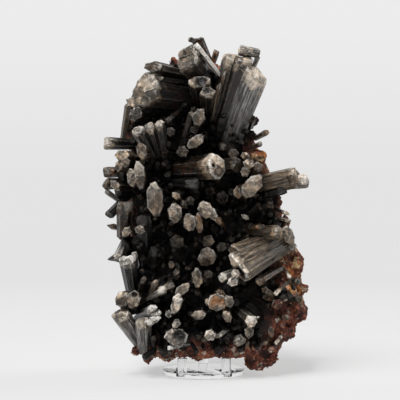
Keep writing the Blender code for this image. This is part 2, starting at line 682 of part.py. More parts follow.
def make_crystals():
    """Every clump, its roots trimmed to the matrix and its sides to the clumps before it."""
    rock_cutter = make_rock("rock_cutter", ROCK_TRIM)
    placed = []
    number = 0
    for name, rows in CLUMPS.items():
        clump = make_clump(name, rows, number)
        spare_cutter = rock_cutter.copy()
        bpy.context.scene.collection.objects.link(spare_cutter)
        apply_boolean(clump, spare_cutter, "DIFFERENCE")
        for earlier_row, earlier_number in placed:
            shape = crystal_shape(earlier_row, earlier_number, GAP)
            cutter = to_object("cutter", shape, "selenite")
            if boxes_meet(box_of(clump), box_of(cutter)):
                apply_boolean(clump, cutter, "DIFFERENCE")
            else:
                bpy.data.objects.remove(cutter, do_unlink=True)
        keep_largest_body(clump, FLAT_CRYSTAL)
        placed += [(row, number + offset) for offset, row in enumerate(rows)]
        number += len(rows)
    bpy.data.objects.remove(rock_cutter, do_unlink=True)


def main():
    clear_scene()
    make_stand_base()
    for name in PEG_PLACES:
        make_stand_peg(name)
    make_rock("matrix")
    make_crystals()


main()
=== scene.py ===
import math
import random

import bmesh
import bpy
from mathutils import Matrix, Vector, noise
from mathutils.bvhtree import BVHTree


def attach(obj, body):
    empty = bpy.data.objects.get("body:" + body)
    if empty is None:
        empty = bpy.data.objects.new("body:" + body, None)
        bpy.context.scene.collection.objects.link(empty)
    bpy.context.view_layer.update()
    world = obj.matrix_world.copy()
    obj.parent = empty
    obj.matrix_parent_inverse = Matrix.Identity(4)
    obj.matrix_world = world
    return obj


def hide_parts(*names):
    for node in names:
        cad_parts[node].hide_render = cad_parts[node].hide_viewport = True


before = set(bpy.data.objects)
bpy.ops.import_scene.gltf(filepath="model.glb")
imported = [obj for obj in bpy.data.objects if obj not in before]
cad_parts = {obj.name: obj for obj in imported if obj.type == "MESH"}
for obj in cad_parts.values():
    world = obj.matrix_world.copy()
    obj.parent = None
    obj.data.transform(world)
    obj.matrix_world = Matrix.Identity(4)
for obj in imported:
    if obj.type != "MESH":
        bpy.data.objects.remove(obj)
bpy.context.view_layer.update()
MM = 0.001

# Camera. The photograph looks level at the middle of the specimen from about 0.8 m, with a long lens.
SIGHT_X = -2.45
SIGHT_Z = 121.0
SIGHT_DISTANCE = 780.0
camera = bpy.data.objects.new("camera", bpy.data.cameras.new("camera"))
bpy.context.scene.collection.objects.link(camera)
bpy.context.scene.camera = camera
camera.location = Vector((SIGHT_X, -SIGHT_DISTANCE, SIGHT_Z)) * MM
camera.rotation_euler = (math.pi / 2, 0.0, 0.0)
camera.data.sensor_width = 36.0
camera.data.lens = 100.3
camera.data.clip_start = 0.01

# Studio. A plain pale floor and backdrop, as for a specimen portrait: a broad soft key from above and the
# front left, weaker ones for the edges and for glints, a bright backdrop and a dim room in front of it.
bpy.context.scene.view_settings.view_transform = "Standard"
AIR_SEEN = 0.84           # the backdrop's upper part, as the camera and the clear stand see it
AIR_LOW = 0.770           # the backdrop where it meets the floor
AIR_LIGHT = 0.13          # the room, as all faces see it
BACKDROP_RISE = (0.02, 0.15)  # upward share of a direction where the backdrop brightens
BACKDROP_SIDE = (0.45, 0.80)  # rearward share of a direction where the room gives way to it
FLOOR_GLOW = (0.480, 0.394)   # the sheet's own glow at the two distances of FLOOR_REACH
FLOOR_REACH = (0.10, 0.90)    # distances from the stand, m
FLOOR_DROP = 0.2          # air under the stand's disc, mm


class Nodes:
    """The node tree of a material or a world, with short calls for the nodes that are used here."""

    def __init__(self, owner):
        owner.use_nodes = True
        self.owner = owner
        self.tree = owner.node_tree

    def node(self, kind, sockets=None, **settings):
        made = self.tree.nodes.new(kind)
        for key, value in settings.items():
            setattr(made, key, value)
        for key, value in (sockets or {}).items():
            self.put(made.inputs[key], value)
        return made

    def link(self, source, target):
        self.tree.links.new(source, target)

    def put(self, socket, value):
        """Set a socket, or link it where the value is another node's output."""
        if isinstance(value, bpy.types.NodeSocket):
            self.link(value, socket)
        elif isinstance(value, tuple) and len(value) == 3 and socket.type == "RGBA":
            socket.default_value = (*value, 1.0)
        else:
            socket.default_value = value

    def place(self):
        return self.node("ShaderNodeTexCoord").outputs["Object"]

    def attribute(self, name, output="Fac"):
        return self.node("ShaderNodeAttribute", attribute_name=name).outputs[output]

    def stretch(self, vector, scale):
        return self.node("ShaderNodeMapping", {"Vector": vector, "Scale": scale}).outputs["Vector"]

    def noise(self, vector, scale, detail=3.0, rough=0.5, warp=0.0):
        return self.node("ShaderNodeTexNoise", {
            "Vector": vector, "Scale": scale, "Detail": detail, "Roughness": rough,
            "Distortion": warp}).outputs["Fac"]

    def cells(self, vector, scale, feature="F1", output="Distance"):
        made = self.node("ShaderNodeTexVoronoi", {"Vector": vector, "Scale": scale}, feature=feature)
        return made.outputs[output]

    def parts(self, colour):
        """The separate values of a colour, by name."""
        return self.node("ShaderNodeSeparateColor", {"Color": colour}).outputs

    def span(self, value, low, high, to_low=0.0, to_high=1.0, smooth=True):
        return self.node("ShaderNodeMapRange", {
            "Value": value, "From Min": low, "From Max": high, "To Min": to_low,
            "To Max": to_high}, interpolation_type="SMOOTHSTEP" if smooth else "LINEAR").outputs["Result"]

    def math(self, operation, one, two=0.0):
        return self.node("ShaderNodeMath", {0: one, 1: two}, operation=operation).outputs["Value"]

    def times(self, value, *others):
        for other in others:
            value = self.math("MULTIPLY", value, other)
        return value

    def mix(self, share, one, two):
        return self.node("ShaderNodeMix", {0: share, 6: one, 7: two}, data_type="RGBA").outputs[2]

    def bump(self, height, distance, strength=1.0, under=None):
        made = self.node("ShaderNodeBump", {"Height": height, "Distance": distance, "Strength": strength})
        if under is not None:
            self.link(under, made.inputs["Normal"])
        return made.outputs["Normal"]

    def finish(self, **sockets):
        """Set the material's shader, and give the material back."""
        for key, value in sockets.items():
            self.put(self.tree.nodes["Principled BSDF"].inputs[key.replace("_", " ")], value)
        return self.owner


sheet = bmesh.new()
bmesh.ops.create_grid(sheet, x_segments=2, y_segments=2, size=6.0)
bmesh.ops.translate(sheet, verts=sheet.verts, vec=(0.0, 0.0, -FLOOR_DROP * MM))
floor = bpy.data.objects.new("floor", bpy.data.meshes.new("floor"))
sheet.to_mesh(floor.data)
sheet.free()
bpy.context.scene.collection.objects.link(floor)
paper = Nodes(bpy.data.materials.new("floor_sheet"))
reach = paper.node("ShaderNodeVectorMath", {0: paper.place()}, operation="LENGTH")
floor.data.materials.append(paper.finish(
    Base_Color=(0.30, 0.30, 0.30), Roughness=0.60, Specular_IOR_Level=0.0, Emission_Color=(1.0, 1.0, 1.0),
    Emission_Strength=paper.span(reach.outputs["Value"], *FLOOR_REACH, *FLOOR_GLOW, smooth=False)))

world = bpy.data.worlds.new("studio_air")
bpy.context.scene.world = world
air = Nodes(world)
way = air.node("ShaderNodeSeparateXYZ", {"Vector": air.node("ShaderNodeTexCoord").outputs["Generated"]})
backdrop, room = (
    air.node("ShaderNodeBackground", {"Color": (1.0, 1.0, 1.0), "Strength": strength}).outputs["Background"]
    for strength in (air.span(way.outputs["Z"], *BACKDROP_RISE, AIR_LOW, AIR_SEEN, smooth=False), AIR_LIGHT))
ray = air.node("ShaderNodeLightPath").outputs
through = air.math("MAXIMUM", ray["Is Camera Ray"], ray["Is Transmission Ray"])
bright = air.math("MAXIMUM", through, air.span(way.outputs["Y"], *BACKDROP_SIDE))
either = air.node("ShaderNodeMixShader", {"Fac": bright, 1: room, 2: backdrop})
air.link(either.outputs["Shader"], air.tree.nodes["World Output"].inputs["Surface"])

for name, place, spread, power in (
        ("key_light", (-0.36, -0.50, 0.95), 34.0, 2.6),
        ("edge_light", (0.75, 0.25, 0.70), 25.0, 0.7),
        ("spark_light", (-0.15, -0.55, 0.85), 7.0, 0.7)):
    lamp = bpy.data.lights.new(name, "SUN")
    lamp.angle = math.radians(spread)
    lamp.energy = power
    lit = bpy.data.objects.new(name, lamp)
    bpy.context.scene.collection.objects.link(lit)
    lit.location = place
    lit.rotation_euler = (-Vector(place)).to_track_quat("-Z", "Y").to_euler()

# Clear stand. A disc and three rods, cut from cast acrylic sheet and rod and flame polished;
# the rods stand in blind sockets in the disc. Their edges are slightly broken.
DISC_RADIUS = 28.7
DISC_THICK = 3.0
PEG_RADIUS = 3.2
PEG_TOP = 13.2
SOCKET_FLOOR = 0.8
PEG_GAP = 0.3
PEG_PLACES = {
    "stand_peg_front_left": (-14.6, -20), "stand_peg_front_right": (15.4, -20), "stand_peg_back": (0, 24.5),
}


def clear_acrylic():
    """Polished acrylic with the faintest waviness from the flame."""
    made = Nodes(bpy.data.materials.new("clear_acrylic"))
    wave = made.noise(made.place(), 90.0, 2.0)
    dust = made.noise(made.place(), 900.0, 3.0, 0.7)
    return made.finish(
        Base_Color=(0.985, 0.99, 0.99),
        Roughness=made.span(dust, 0.55, 0.75, 0.02, 0.10),
        IOR=1.49, Transmission_Weight=1.0, Specular_IOR_Level=0.25,
        Normal=made.bump(wave, 0.0004, 0.25))


ACRYLIC = clear_acrylic()


def keep_piece(name, shape, materials, slot, *nodes, sharp=None):
    """Put a finished bmesh in the scene as a piece of the object, standing for CAD nodes."""
    mesh = bpy.data.meshes.new(name)
    shape.to_mesh(mesh)
    shape.free()
    for material in materials:
        mesh.materials.append(material)
    if sharp is not None:
        mesh.shade_smooth()
        mesh.set_sharp_from_angle(angle=math.radians(sharp))
    piece = bpy.data.objects.new(name, mesh)
    bpy.context.scene.collection.objects.link(piece)
    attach(piece, "root")
    if nodes:
        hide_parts(*nodes)
    return piece


def bar(shape, x, y, low, high, radius, sides, edge):
    """An upright round bar with both end edges broken."""
    made = bmesh.ops.create_cone(
        shape, cap_ends=True, segments=sides, radius1=radius * MM, radius2=radius * MM,
        depth=(high - low) * MM,
        matrix=Matrix.Translation((x * MM, y * MM, (low + high) / 2 * MM)))["verts"]
    rims = [e for e in shape.edges if all(v in made for v in e.verts)
            and abs(e.verts[0].co.z - e.verts[1].co.z) < 1e-7]
    bmesh.ops.bevel(shape, geom=rims, offset=edge * MM, offset_type="OFFSET", segments=3,
                    affect="EDGES", profile=0.5, material=-1)


disc = bmesh.new()
bar(disc, 0.0, 0.0, 0.0, DISC_THICK, DISC_RADIUS, 128, 0.35)
disc_piece = keep_piece("stand_disc", disc, [ACRYLIC], "clear_acrylic", "stand_base", sharp=40)
for node, (x, y) in PEG_PLACES.items():
    socket = bmesh.new()
    bar(socket, x, y, SOCKET_FLOOR, DISC_THICK + 2.0, PEG_RADIUS + PEG_GAP, 40, 0.1)
    tool = bpy.data.objects.new("socket", bpy.data.meshes.new("socket"))
    socket.to_mesh(tool.data)
    socket.free()
    bpy.context.scene.collection.objects.link(tool)
    cut = disc_piece.modifiers.new("socket", "BOOLEAN")
    cut.operation = "DIFFERENCE"
    cut.object = tool
    made = bpy.data.meshes.new_from_object(
        disc_piece.evaluated_get(bpy.context.evaluated_depsgraph_get()))
    disc_piece.modifiers.remove(cut)
    disc_piece.data = made
    bpy.data.objects.remove(tool)
    peg = bmesh.new()
    bar(peg, x, y, SOCKET_FLOOR + PEG_GAP, PEG_TOP, PEG_RADIUS, 40, 0.45)
    keep_piece(node + "_rod", peg, [ACRYLIC], "clear_acrylic", node, sharp=40)

# Matrix. One slab of iron-stained rock: crumbly, red-brown, with rust and ochre earth in its hollows and
# pale carbonate crumbs. It broke from the pocket wall, so its sides and back are rough fracture.
# Painted shade: the hollows of its relief are darkened, and the front is black where the crystals root.
ROCK_GRAIN = 1.25         # mesh size of the rock's surface, mm
ROCK_ROUGHNESS = 1.35     # height of its knobs, mm
ROCK_SINK = 0.5           # how far the surface is drawn in under them, mm


def rock_finish():
    """Red-brown rock with rust, ochre and cream; painted shade in its hollows and black where crystals root.
    """
    made = Nodes(bpy.data.materials.new("matrix_rock"))
    place = made.place()
    warped = made.noise(place, 55.0, 5.0, 0.65, 0.6)
    patch = made.noise(place, 130.0, 6.0, 0.7, 0.4)
    grain = made.noise(place, 520.0, 5.0, 0.75)
    crumb_tone = made.parts(made.cells(place, 330.0, output="Color"))
    hollow = made.attribute("hollow")
    dark = made.mix(made.span(patch, 0.35, 0.68), (0.050, 0.019, 0.015), (0.200, 0.052, 0.032))
    red = made.mix(made.span(grain, 0.46, 0.66), dark, (0.46, 0.150, 0.078))
    earth = made.attribute("earth")
    rust_level = made.math("ADD", warped, made.times(grain, 0.3))
    rust_level = made.math("ADD", rust_level, made.times(earth, 0.12))
    rust = made.mix(made.span(rust_level, 0.72, 0.83), red, (0.66, 0.23, 0.055))
    ochre_level = made.math("ADD", crumb_tone["Red"], made.times(earth, 0.22))
    ochre_mask = made.times(made.span(ochre_level, 0.84, 0.96), made.span(patch, 0.42, 0.57))
    ochre = made.mix(ochre_mask, rust, (0.66, 0.46, 0.24))
    cream_mask = made.times(made.span(crumb_tone["Green"], 0.84, 0.93), made.span(warped, 0.40, 0.58))
    cream = made.mix(cream_mask, ochre, (0.58, 0.50, 0.40))
    # Painted shade: the rock is darkened in the hollows of its relief, where shade falls.
    shaded = made.mix(made.span(hollow, 0.15, 0.75), cream, (0.028, 0.012, 0.010))
    # Painted shade: the front is near-black where the crystals root, standing in for the shade between them.
    front = made.mix(made.attribute("root_shade"), shaded, (0.012, 0.010, 0.009))
    height = made.math("ADD", grain, made.times(made.cells(place, 330.0), 0.9))
    return made.finish(
        Base_Color=front, Roughness=made.span(grain, 0.3, 0.7, 0.72, 0.95),
        Specular_IOR_Level=0.35,
        Normal=made.bump(height, 0.0007, 0.9))


ROCK = rock_finish()


def rock_relief(spot):
    """Height in mm of the rock's knobs and pits at a place given in mm."""
    broad = noise.fractal(spot * 0.11, 0.9, 2.0, 3)
    knob = abs(noise.noise(spot * 0.33 + Vector((7.0, 1.0, 4.0))))
    fine = noise.noise(spot * 0.9)
    return ROCK_ROUGHNESS * (broad + 1.1 * (0.3 - knob) + 0.60 * fine)


# Places of the front as x, z and radius in mm: bare of crystals, and coated with orange earth
BARE_PLACES = ((38, 151, 13), (46, 139, 8), (58, 74, 12), (60, 100, 7), (61, 32, 20), (50, 13, 14))
EARTH_PLACES = ((66, 78, 15), (62, 98, 9), (41, 152, 11), (50, 134, 7), (68, 56, 8))
# Edges of the front, left, right, low and high, each as its place and the width over which it fades, mm
# The first field is painted black, as the shade between the crystals where they root.
ROOT_SHADE_FIELD = ((-56, 8), (58, 12), (20, 9), (206, 8))      # black, where crystals root
GRAINLESS_FIELD = ((-50, 10), (58, 12), (18, 8), (208, 8))  # without loose grains


def bare(x, z):
    """How far a place of the front, in mm, is clear of crystals, from 0 to 1."""
    return max(min(1.0, max(0.0, 1.6 - math.hypot(x - bx, z - bz) / radius * 1.3))
               for bx, bz, radius in BARE_PLACES)


def within(x, z, field):
    """How far a place of the front, in mm, lies inside a field, 1 being past all its fades."""
    left, right, low, high = field
    return min((x - left[0]) / left[1], (right[0] - x) / right[1],
               (z - low[0]) / low[1], (high[0] - z) / high[1])


blank = bmesh.new()
blank.from_mesh(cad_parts["matrix"].data)
bmesh.ops.remove_doubles(blank, verts=blank.verts, dist=0.01 * MM)
rock_mesh = bpy.data.meshes.new("rock_blank")
blank.to_mesh(rock_mesh)
blank.free()
rock_blank = bpy.data.objects.new("rock_blank", rock_mesh)
bpy.context.scene.collection.objects.link(rock_blank)
grow_even = rock_blank.modifiers.new("even", "REMESH")
grow_even.mode = "VOXEL"
grow_even.voxel_size = ROCK_GRAIN * MM
even = bpy.data.meshes.new_from_object(rock_blank.evaluated_get(bpy.context.evaluated_depsgraph_get()))
bpy.data.objects.remove(rock_blank)
rock = bmesh.new()
rock.from_mesh(even)
rock.normal_update()
hollow = rock.verts.layers.float.new("hollow")
root_shade = rock.verts.layers.float.new("root_shade")
earth = rock.verts.layers.float.new("earth")
for vert in rock.verts:
    spot = vert.co / MM
    rise = rock_relief(spot)
    # How low a place lies in the relief, which the finish paints darker as shade.
    vert[hollow] = min(1.0, max(0.0, 0.45 - 0.42 * rise))
    # Painted shade between the crystals' roots, on the faces of the front only.
    inside = min(within(spot.x, spot.z, ROOT_SHADE_FIELD), 1.0 - bare(spot.x, spot.z))
    vert[root_shade] = min(1.0, max(0.0, inside)) * min(1.0, max(0.0, -vert.normal.y * 2.0))
    vert[earth] = max([0.15 if vert.normal.y > 0.0 else -0.5] + [
        1.3 - math.hypot(spot.x - ex, spot.z - ez) / radius for ex, ez, radius in EARTH_PLACES])
    vert.co += vert.normal * (rise - ROCK_SINK) * MM
keep_piece("rock", rock, [ROCK], "matrix_rock", "matrix", sharp=60)

# Grains. Loose crumbs of the same rock, broken off where the slab was trimmed. They cling to its broken
# edges and to the bare rock at the lower right, held by their corners and by dried earth.
CRUMB_COUNT = 1300
CRUMB_SIZES = (0.5, 1.7)  # mm
CRUMB_LOWEST = 6.0        # mm above the floor
CRUMBLY_CORNER = (30.0, 90.0)  # the lower right, from this x on and up to this z, mm
CRUMBLY_MORE = 2.5        # how many times the grains are more there


def crumb(shape, place, size, chance):
    """One angular grain: a coarse ball with its corners pushed about."""
    made = bmesh.ops.create_icosphere(shape, subdivisions=1, radius=1.0)["verts"]
    squash = Vector((chance.uniform(0.6, 1.0), chance.uniform(0.6, 1.0), chance.uniform(0.5, 1.0)))
    for vert in made:
        vert.co = place + Vector(vert.co[k] * squash[k] for k in range(3)) * (
            size * chance.uniform(0.78, 1.12) * MM)


rock_tree = BVHTree.FromPolygons(
    [v.co.copy() for v in even.vertices], [tuple(p.vertices) for p in even.polygons])
chance = random.Random(11)
faces = list(even.polygons)
crumbs = bmesh.new()
placed = 0
while placed < CRUMB_COUNT:
    face = faces[chance.randrange(len(faces))]
    x, y, z = (value / MM for value in face.center)
    wanted = 0.25 if face.normal.y > 0.3 else 1.0 - min(1.0, max(0.0, within(x, z, GRAINLESS_FIELD)))
    if x > CRUMBLY_CORNER[0] and z < CRUMBLY_CORNER[1]:
        wanted = min(1.0, wanted * CRUMBLY_MORE)
    if chance.random() > wanted or z < CRUMB_LOWEST:
        continue
    size = chance.triangular(*CRUMB_SIZES, CRUMB_SIZES[0])
    crumb(crumbs, face.center - face.normal * (size * 0.3) * MM, size, chance)
    placed += 1
keep_piece("rock_grains", crumbs, [ROCK], "matrix_rock", sharp=35)

# Crystals. Selenite, the clear form of gypsum, so smoky that it is nearly black in its depth. Each crystal
# grew from the rock as a flattened prism, lined along its length; its blunt end is etched pale and frosted.
SIDE_SLANT = 0.27         # share of the width that each narrow side's slant takes
ROOT_TAPER = 0.80         # width at the root, as a share of the width at the end
WIDE_CRYSTAL = 12.0       # from this width on a crystal has eight sides and not six, mm
SIDE_STEP = 4.5           # mesh size along a crystal, mm
CAP_NOISE = 0.26          # height of the fine etching of an end, mm
STEEP_SIZE = 12.0         # wider ends than this slope less, mm
FINE_SIZE = 9.0           # wider crystals than this have a coarser etching, mm
# How each kind of end closes: height of its bevel as a share of the smaller of width and thickness, the
# shares of the width and of the thickness that are left inside the bevel, and height of its steps in mm
ENDS = {
    "blunt": (0.15, 0.88, 0.85, 0.6),
    "slant": (0.14, 0.90, 0.88, 0.9),
    "broken": (0.06, 0.92, 0.90, 1.5),
    "chisel": (0.55, 0.84, 0.16, 0.7),
    "point": (0.95, 0.18, 0.18, 0.6),
}
# Tone and warmth of the frosted end, how far it reaches down the sides in mm, brightness and warmth of
# the silky lines on the sides, how far rust has stained it, and how bright the highlights painted on its
# edges are
LOOKS = {
    "pale": (0.4, 0.66, 1.4, 0.08, 0.55, 0.06, 0.45),
    "bright": (1, 0.44, 2, 0.13, 0.4, 0.03, 0.95),
    "white": (1.75, 0.06, 4, 1.1, 0.05, 0, 0.9),
    "fan": (0.9, 0.12, 5, 0.18, 0.1, 0, 0.9),
    "blade": (2.6, 0.15, 12, 7, 0.15, 0, 1),
    "frost": (0.66, 0.6, 4.5, 0.035, 0.35, 0.04, 0.45),
    "crown": (0.4, 0.6, 5, 0.1, 0.5, 0.04, 0.8),
    "crest": (1.45, 0.42, 9, 0.72, 0.12, 0.03, 0.7),
    "lobe": (1.3, 0.5, 6, 0.07, 0.75, 0.04, 0.7),
    "stub": (2.4, 0.5, 4.5, 0.02, 0.5, 0.03, 0.8),
    "hollow": (0.42, 0.42, 1.6, 0.1, 0.4, 0.04, 1),
    "crust": (0.54, 0.62, 7, 0.1, 0.75, 0.08, 1),
    "lens": (0.12, 0.8, 1, 0.26, 0.45, 0.05, 0.8),
    "beige": (0.46, 0.78, 2.5, 0.55, 0.78, 0.1, 0.4),
    "cream": (1.6, 0.66, 3, 0.6, 0.85, 0.05, 1),
    "dim": (0.1, 0.74, 1.5, 0.05, 0.6, 0.05, 0.1),
    "dark": (0.03, 0.6, 0.5, 0.02, 0.5, 0, 0.05),
    "silk": (0.62, 0.44, 4, 0.78, 0.2, 0.02, 0.55),
    "pillow": (0.5, 0.7, 3, 0.05, 0.6, 0.06, 0.7),
    "finger": (0.95, 0.34, 3.5, 0.24, 0.25, 0.02, 0.9),
    "smoke": (0.2, 0.5, 2, 0.1, 0.35, 0.02, 0.35),
    "brown": (0.28, 0.92, 2, 0.18, 0.92, 0.25, 0.2),
    "rust": (0.42, 0.9, 2, 0.28, 0.92, 0.6, 0.25),
    "ember": (0.4, 0.72, 2, 0.2, 0.8, 0.75, 0.8),
    "olive": (0.46, 0.78, 3, 0.36, 0.85, 0.12, 0.4),
    "claw": (0.1, 0.85, 1, 0.05, 0.7, 0.2, 0.36),
    "glass": (1.6, 0.3, 3, 0.95, 0.3, 0.02, 1),
    # Painted shade: the druse's ends are toned nearly black, as the shade between the large crystals.
    "druse": (0.012, 0.7, 0.6, 0.03, 0.6, 0, 0.02),
}


def prism(tip, root, wide, thick, look, turn=None, end="blunt", lean=(0.0, 0.0), hole=None,
          slant=SIDE_SLANT):
    """One crystal: tip and root in mm, width, thickness, look, and how it lies and ends.

    The turn is the way of its width in the front elevation, in degrees, or None for square to its axis.
    The lean is the slope of its end over the width and the thickness. A hole is a hollow in the end, as
    its two places across the end, its radius and its depth in mm.
    """
    return dict(tip=tip, root=root, wide=wide, thick=thick, look=look, turn=turn, end=end,
                lean=lean, hole=hole, slant=slant)


def selenite_finish(name, gloss):
    """Smoky selenite: black depth, broken silky lines, and frosted ends of a few dull facets each."""
    made = Nodes(bpy.data.materials.new(name))
    grain = made.attribute("grain", "Vector")
    along = made.attribute("along")
    top_light = made.attribute("top_light")
    etch = made.node("ShaderNodeVectorMath", {0: grain, "Scale": made.attribute("coarse")},
                     operation="SCALE").outputs["Vector"]
    lines = made.noise(made.stretch(grain, (1.3, 1.3, 0.035)), 1.0, 4.0, 0.62, 0.2)
    hairs = made.noise(made.stretch(grain, (3.2, 3.2, 0.07)), 1.0, 2.0, 0.5)
    dust = made.noise(made.stretch(grain, (0.42, 0.42, 0.10)), 1.0, 5.0, 0.72, 0.5)
    cloud = made.noise(etch, 0.26, 3.0, 0.55, 0.4)
    blotch = made.noise(etch, 0.50, 4.0, 0.60, 0.6)
    speck = made.noise(etch, 1.7, 4.0, 0.7)
    crack = made.noise(made.stretch(etch, (0.22, 1.3, 0.5)), 1.0, 4.0, 0.65, 0.5)
    # The end's facets: each is toned at random, which also stands in for the light and shade of facets
    # tilted
    facet_place = made.stretch(etch, (1.0, 1.0, 0.4))
    # differently, and the seams between them are painted as bright highlight lines.
    facet_tone_and_shade = made.parts(made.cells(facet_place, 0.24, output="Color"))
    chipped = made.cells(facet_place, 0.24)
    seam_highlight = made.span(made.cells(facet_place, 0.24, feature="DISTANCE_TO_EDGE"), 0.0, 0.07, 1.0, 0.0)
    # Painted glints: small bright flecks on the ends.
    glint_flake = made.parts(made.cells(etch, 0.75, output="Color"))

    # The silky lines: partly the crystal's own striations, partly painted sheen; they fade towards the root.
    silk_colour = made.mix(made.attribute("silk_warm"), (0.79, 0.785, 0.765), (0.84, 0.63, 0.39))
    silk = made.times(
        made.span(lines, 0.40, 0.67, 0.20, 1.0), made.span(dust, 0.38, 0.62, 0.22, 1.15),
        made.span(hairs, 0.30, 0.70, 0.70, 1.20), made.span(along, 0.0, 46.0, 1.30, 0.30),
        made.attribute("silk"), 0.62)
    body = made.mix(silk, (0.0055, 0.0055, 0.0060), silk_colour)

    # Painted light: the ends are paler and cooler towards the top of each crystal, as if lit from above.
    warmth = made.math("SUBTRACT", made.attribute("end_warm"), made.times(top_light, 0.22))
    warmth = made.math("ADD", warmth, made.span(cloud, 0.35, 0.65, -0.15, 0.15))
    end_colour = made.mix(warmth, (0.82, 0.80, 0.765), (0.88, 0.64, 0.40))
    mottle = made.times(
        made.span(cloud, 0.34, 0.66, 0.62, 1.20), made.span(blotch, 0.38, 0.62, 0.50, 1.40),
        made.span(speck, 0.32, 0.62, 0.85, 1.08), made.span(crack, 0.32, 0.42, 0.50, 1.0),
        made.span(facet_tone_and_shade["Red"], 0.1, 0.9, 0.42, 1.75, smooth=False),
        made.span(facet_tone_and_shade["Green"], 0.76, 0.82, 1.0, 0.32))
    # Painted highlights along the facets' seams.
    mottle = made.math("ADD", mottle, made.times(seam_highlight, made.span(speck, 0.4, 0.6, 0.0, 0.9)))
    # Painted glints added to the end's tone.
    mottle = made.math("ADD", mottle, made.span(glint_flake["Blue"], 0.91, 0.97, 0.0, 0.9))
    # The end's tone, with painted light brighter towards its top.
    tone = made.times(made.attribute("end_tone"), 0.50, mottle, made.span(top_light, -0.9, 0.9, 0.62, 1.42))
    frost = made.mix(made.math("MINIMUM", tone, 1.0), (0.010, 0.009, 0.008), end_colour)
    reach = made.math("DIVIDE", along, made.times(
        made.attribute("reach"), made.span(cloud, 0.30, 0.70, 0.45, 1.6)))
    covered = made.math("MAXIMUM", made.attribute("end_face"), made.span(reach, 0.35, 1.35, 0.85, 0.0))
    colour = made.mix(covered, body, frost)

    stain_mask = made.times(made.attribute("stain"), made.span(cloud, 0.42, 0.66, 0.0, 1.3),
                            made.span(speck, 0.35, 0.6, 0.45, 1.0))
    stained = made.mix(stain_mask, colour, made.mix(speck, (0.16, 0.045, 0.012), (0.50, 0.20, 0.05)))
    # Painted highlight: thin bright lines on the end's bevel, its ridge and the long corners, brighter
    # towards the top.
    edge = made.times(made.attribute("rim"), made.attribute("edge"),
                      made.span(blotch, 0.42, 0.58, 0.05, 1.0), made.span(top_light, -0.8, 0.4, 0.45, 1.0))
    highlighted = made.mix(edge, stained, (0.88, 0.84, 0.77))
    # Painted shade: a hollow end is painted near-black inside.
    pit_shaded = made.mix(made.attribute("pit"), highlighted, (0.008, 0.006, 0.005))

    rough = made.math("ADD", made.span(lines, 0.3, 0.7, 0.20, 0.34),
                      made.times(covered, made.span(blotch, 0.35, 0.60, 0.14, -0.10)))
    fine = made.bump(lines, 0.0005, 0.55)
    fine = made.bump(made.times(chipped, covered), 0.0013, 0.8, under=fine)
    etched = made.times(made.math("ADD", speck, made.math("ADD", crack, seam_highlight)), covered)
    return made.finish(
        Base_Color=pit_shaded, Roughness=rough, IOR=1.52, Specular_IOR_Level=gloss,
        Normal=made.bump(etched, 0.0004, 0.8, under=fine))


SELENITE = selenite_finish("smoky_selenite", 0.36)


def along_sight(x, y, z):
    """A place of the front elevation, drawn in along its line of sight to depth y."""
    share = (SIGHT_DISTANCE + y) / SIGHT_DISTANCE
    return Vector((SIGHT_X + (x - SIGHT_X) * share, y, SIGHT_Z + (z - SIGHT_Z) * share)) * MM


def stand_matrix(tip, root, turn):
    """The matrix that stands a crystal, built up along +Z, between two places."""
    axis = (tip - root).normalized()
    if turn is None:
        turn = math.atan2(axis.z, axis.x) - math.pi / 2
    else:
        turn = math.radians(turn)
    wide_way = Vector((math.cos(turn), 0.0, math.sin(turn)))
    wide_way = (wide_way - axis * wide_way.dot(axis)).normalized()
    turned = Matrix((wide_way, axis.cross(wide_way), axis)).transposed().to_4x4()
    return Matrix.Translation(root) @ turned


def lined_outline(row, chance, spacing):
    """The outline across a crystal as (x, y, is corner), its faces cut by fine steps and grooves."""
    half, deep = row["wide"] / 2, row["thick"] / 2
    edge = row["slant"] * row["wide"]
    side = deep * 0.35 if row["wide"] > WIDE_CRYSTAL else 0.0
    corners = [(-half, -side), (-half + edge, -deep), (half - edge, -deep), (half, -side)]
    if side:
        corners += [(half, side)]
    corners += [(half - edge, deep), (-half + edge, deep)]
    if side:
        corners += [(-half, side)]
    wobble = min(1.2, 0.09 * row["thick"])
    corners = [(x * chance.uniform(0.86, 1.0),
                y + chance.uniform(-wobble, wobble * 0.5) * (1 if y > 0 else -1)) for x, y in corners]
    step = min(0.30, 0.030 * row["thick"])
    points = []
    for (x0, y0), (x1, y1) in zip(corners, corners[1:] + corners[:1]):
        length = math.hypot(x1 - x0, y1 - y0)
        count = max(2, round(length / spacing))
        level, left = 0.0, 0
        for k in range(count):
            if left == 0:
                level = chance.choice((0.0, 0.0, 0.35, 0.7, 1.0))
                left = chance.randint(1, 3)
            left -= 1
            depth = 0.0 if k == 0 else step * level
            if 1 < k < count - 1 and chance.random() < 0.07:
                depth += min(0.4, 0.04 * row["thick"])
            share = k / count
            points.append((x0 + (x1 - x0) * share - (y1 - y0) / length * depth,
                           y0 + (y1 - y0) * share + (x1 - x0) / length * depth, k == 0))
    return points


def open_layers(shape):
    """The values that the crystals' finish reads, one layer each."""
    layers = {name: shape.verts.layers.float.new(name) for name in (
        "along", "rim", "top_light", "pit", "end_tone", "end_warm", "reach", "silk", "silk_warm", "stain",
        "edge", "coarse")}
    layers["grain"] = shape.verts.layers.float_vector.new("grain")
    layers["end_face"] = shape.faces.layers.float.new("end_face")
    return layers


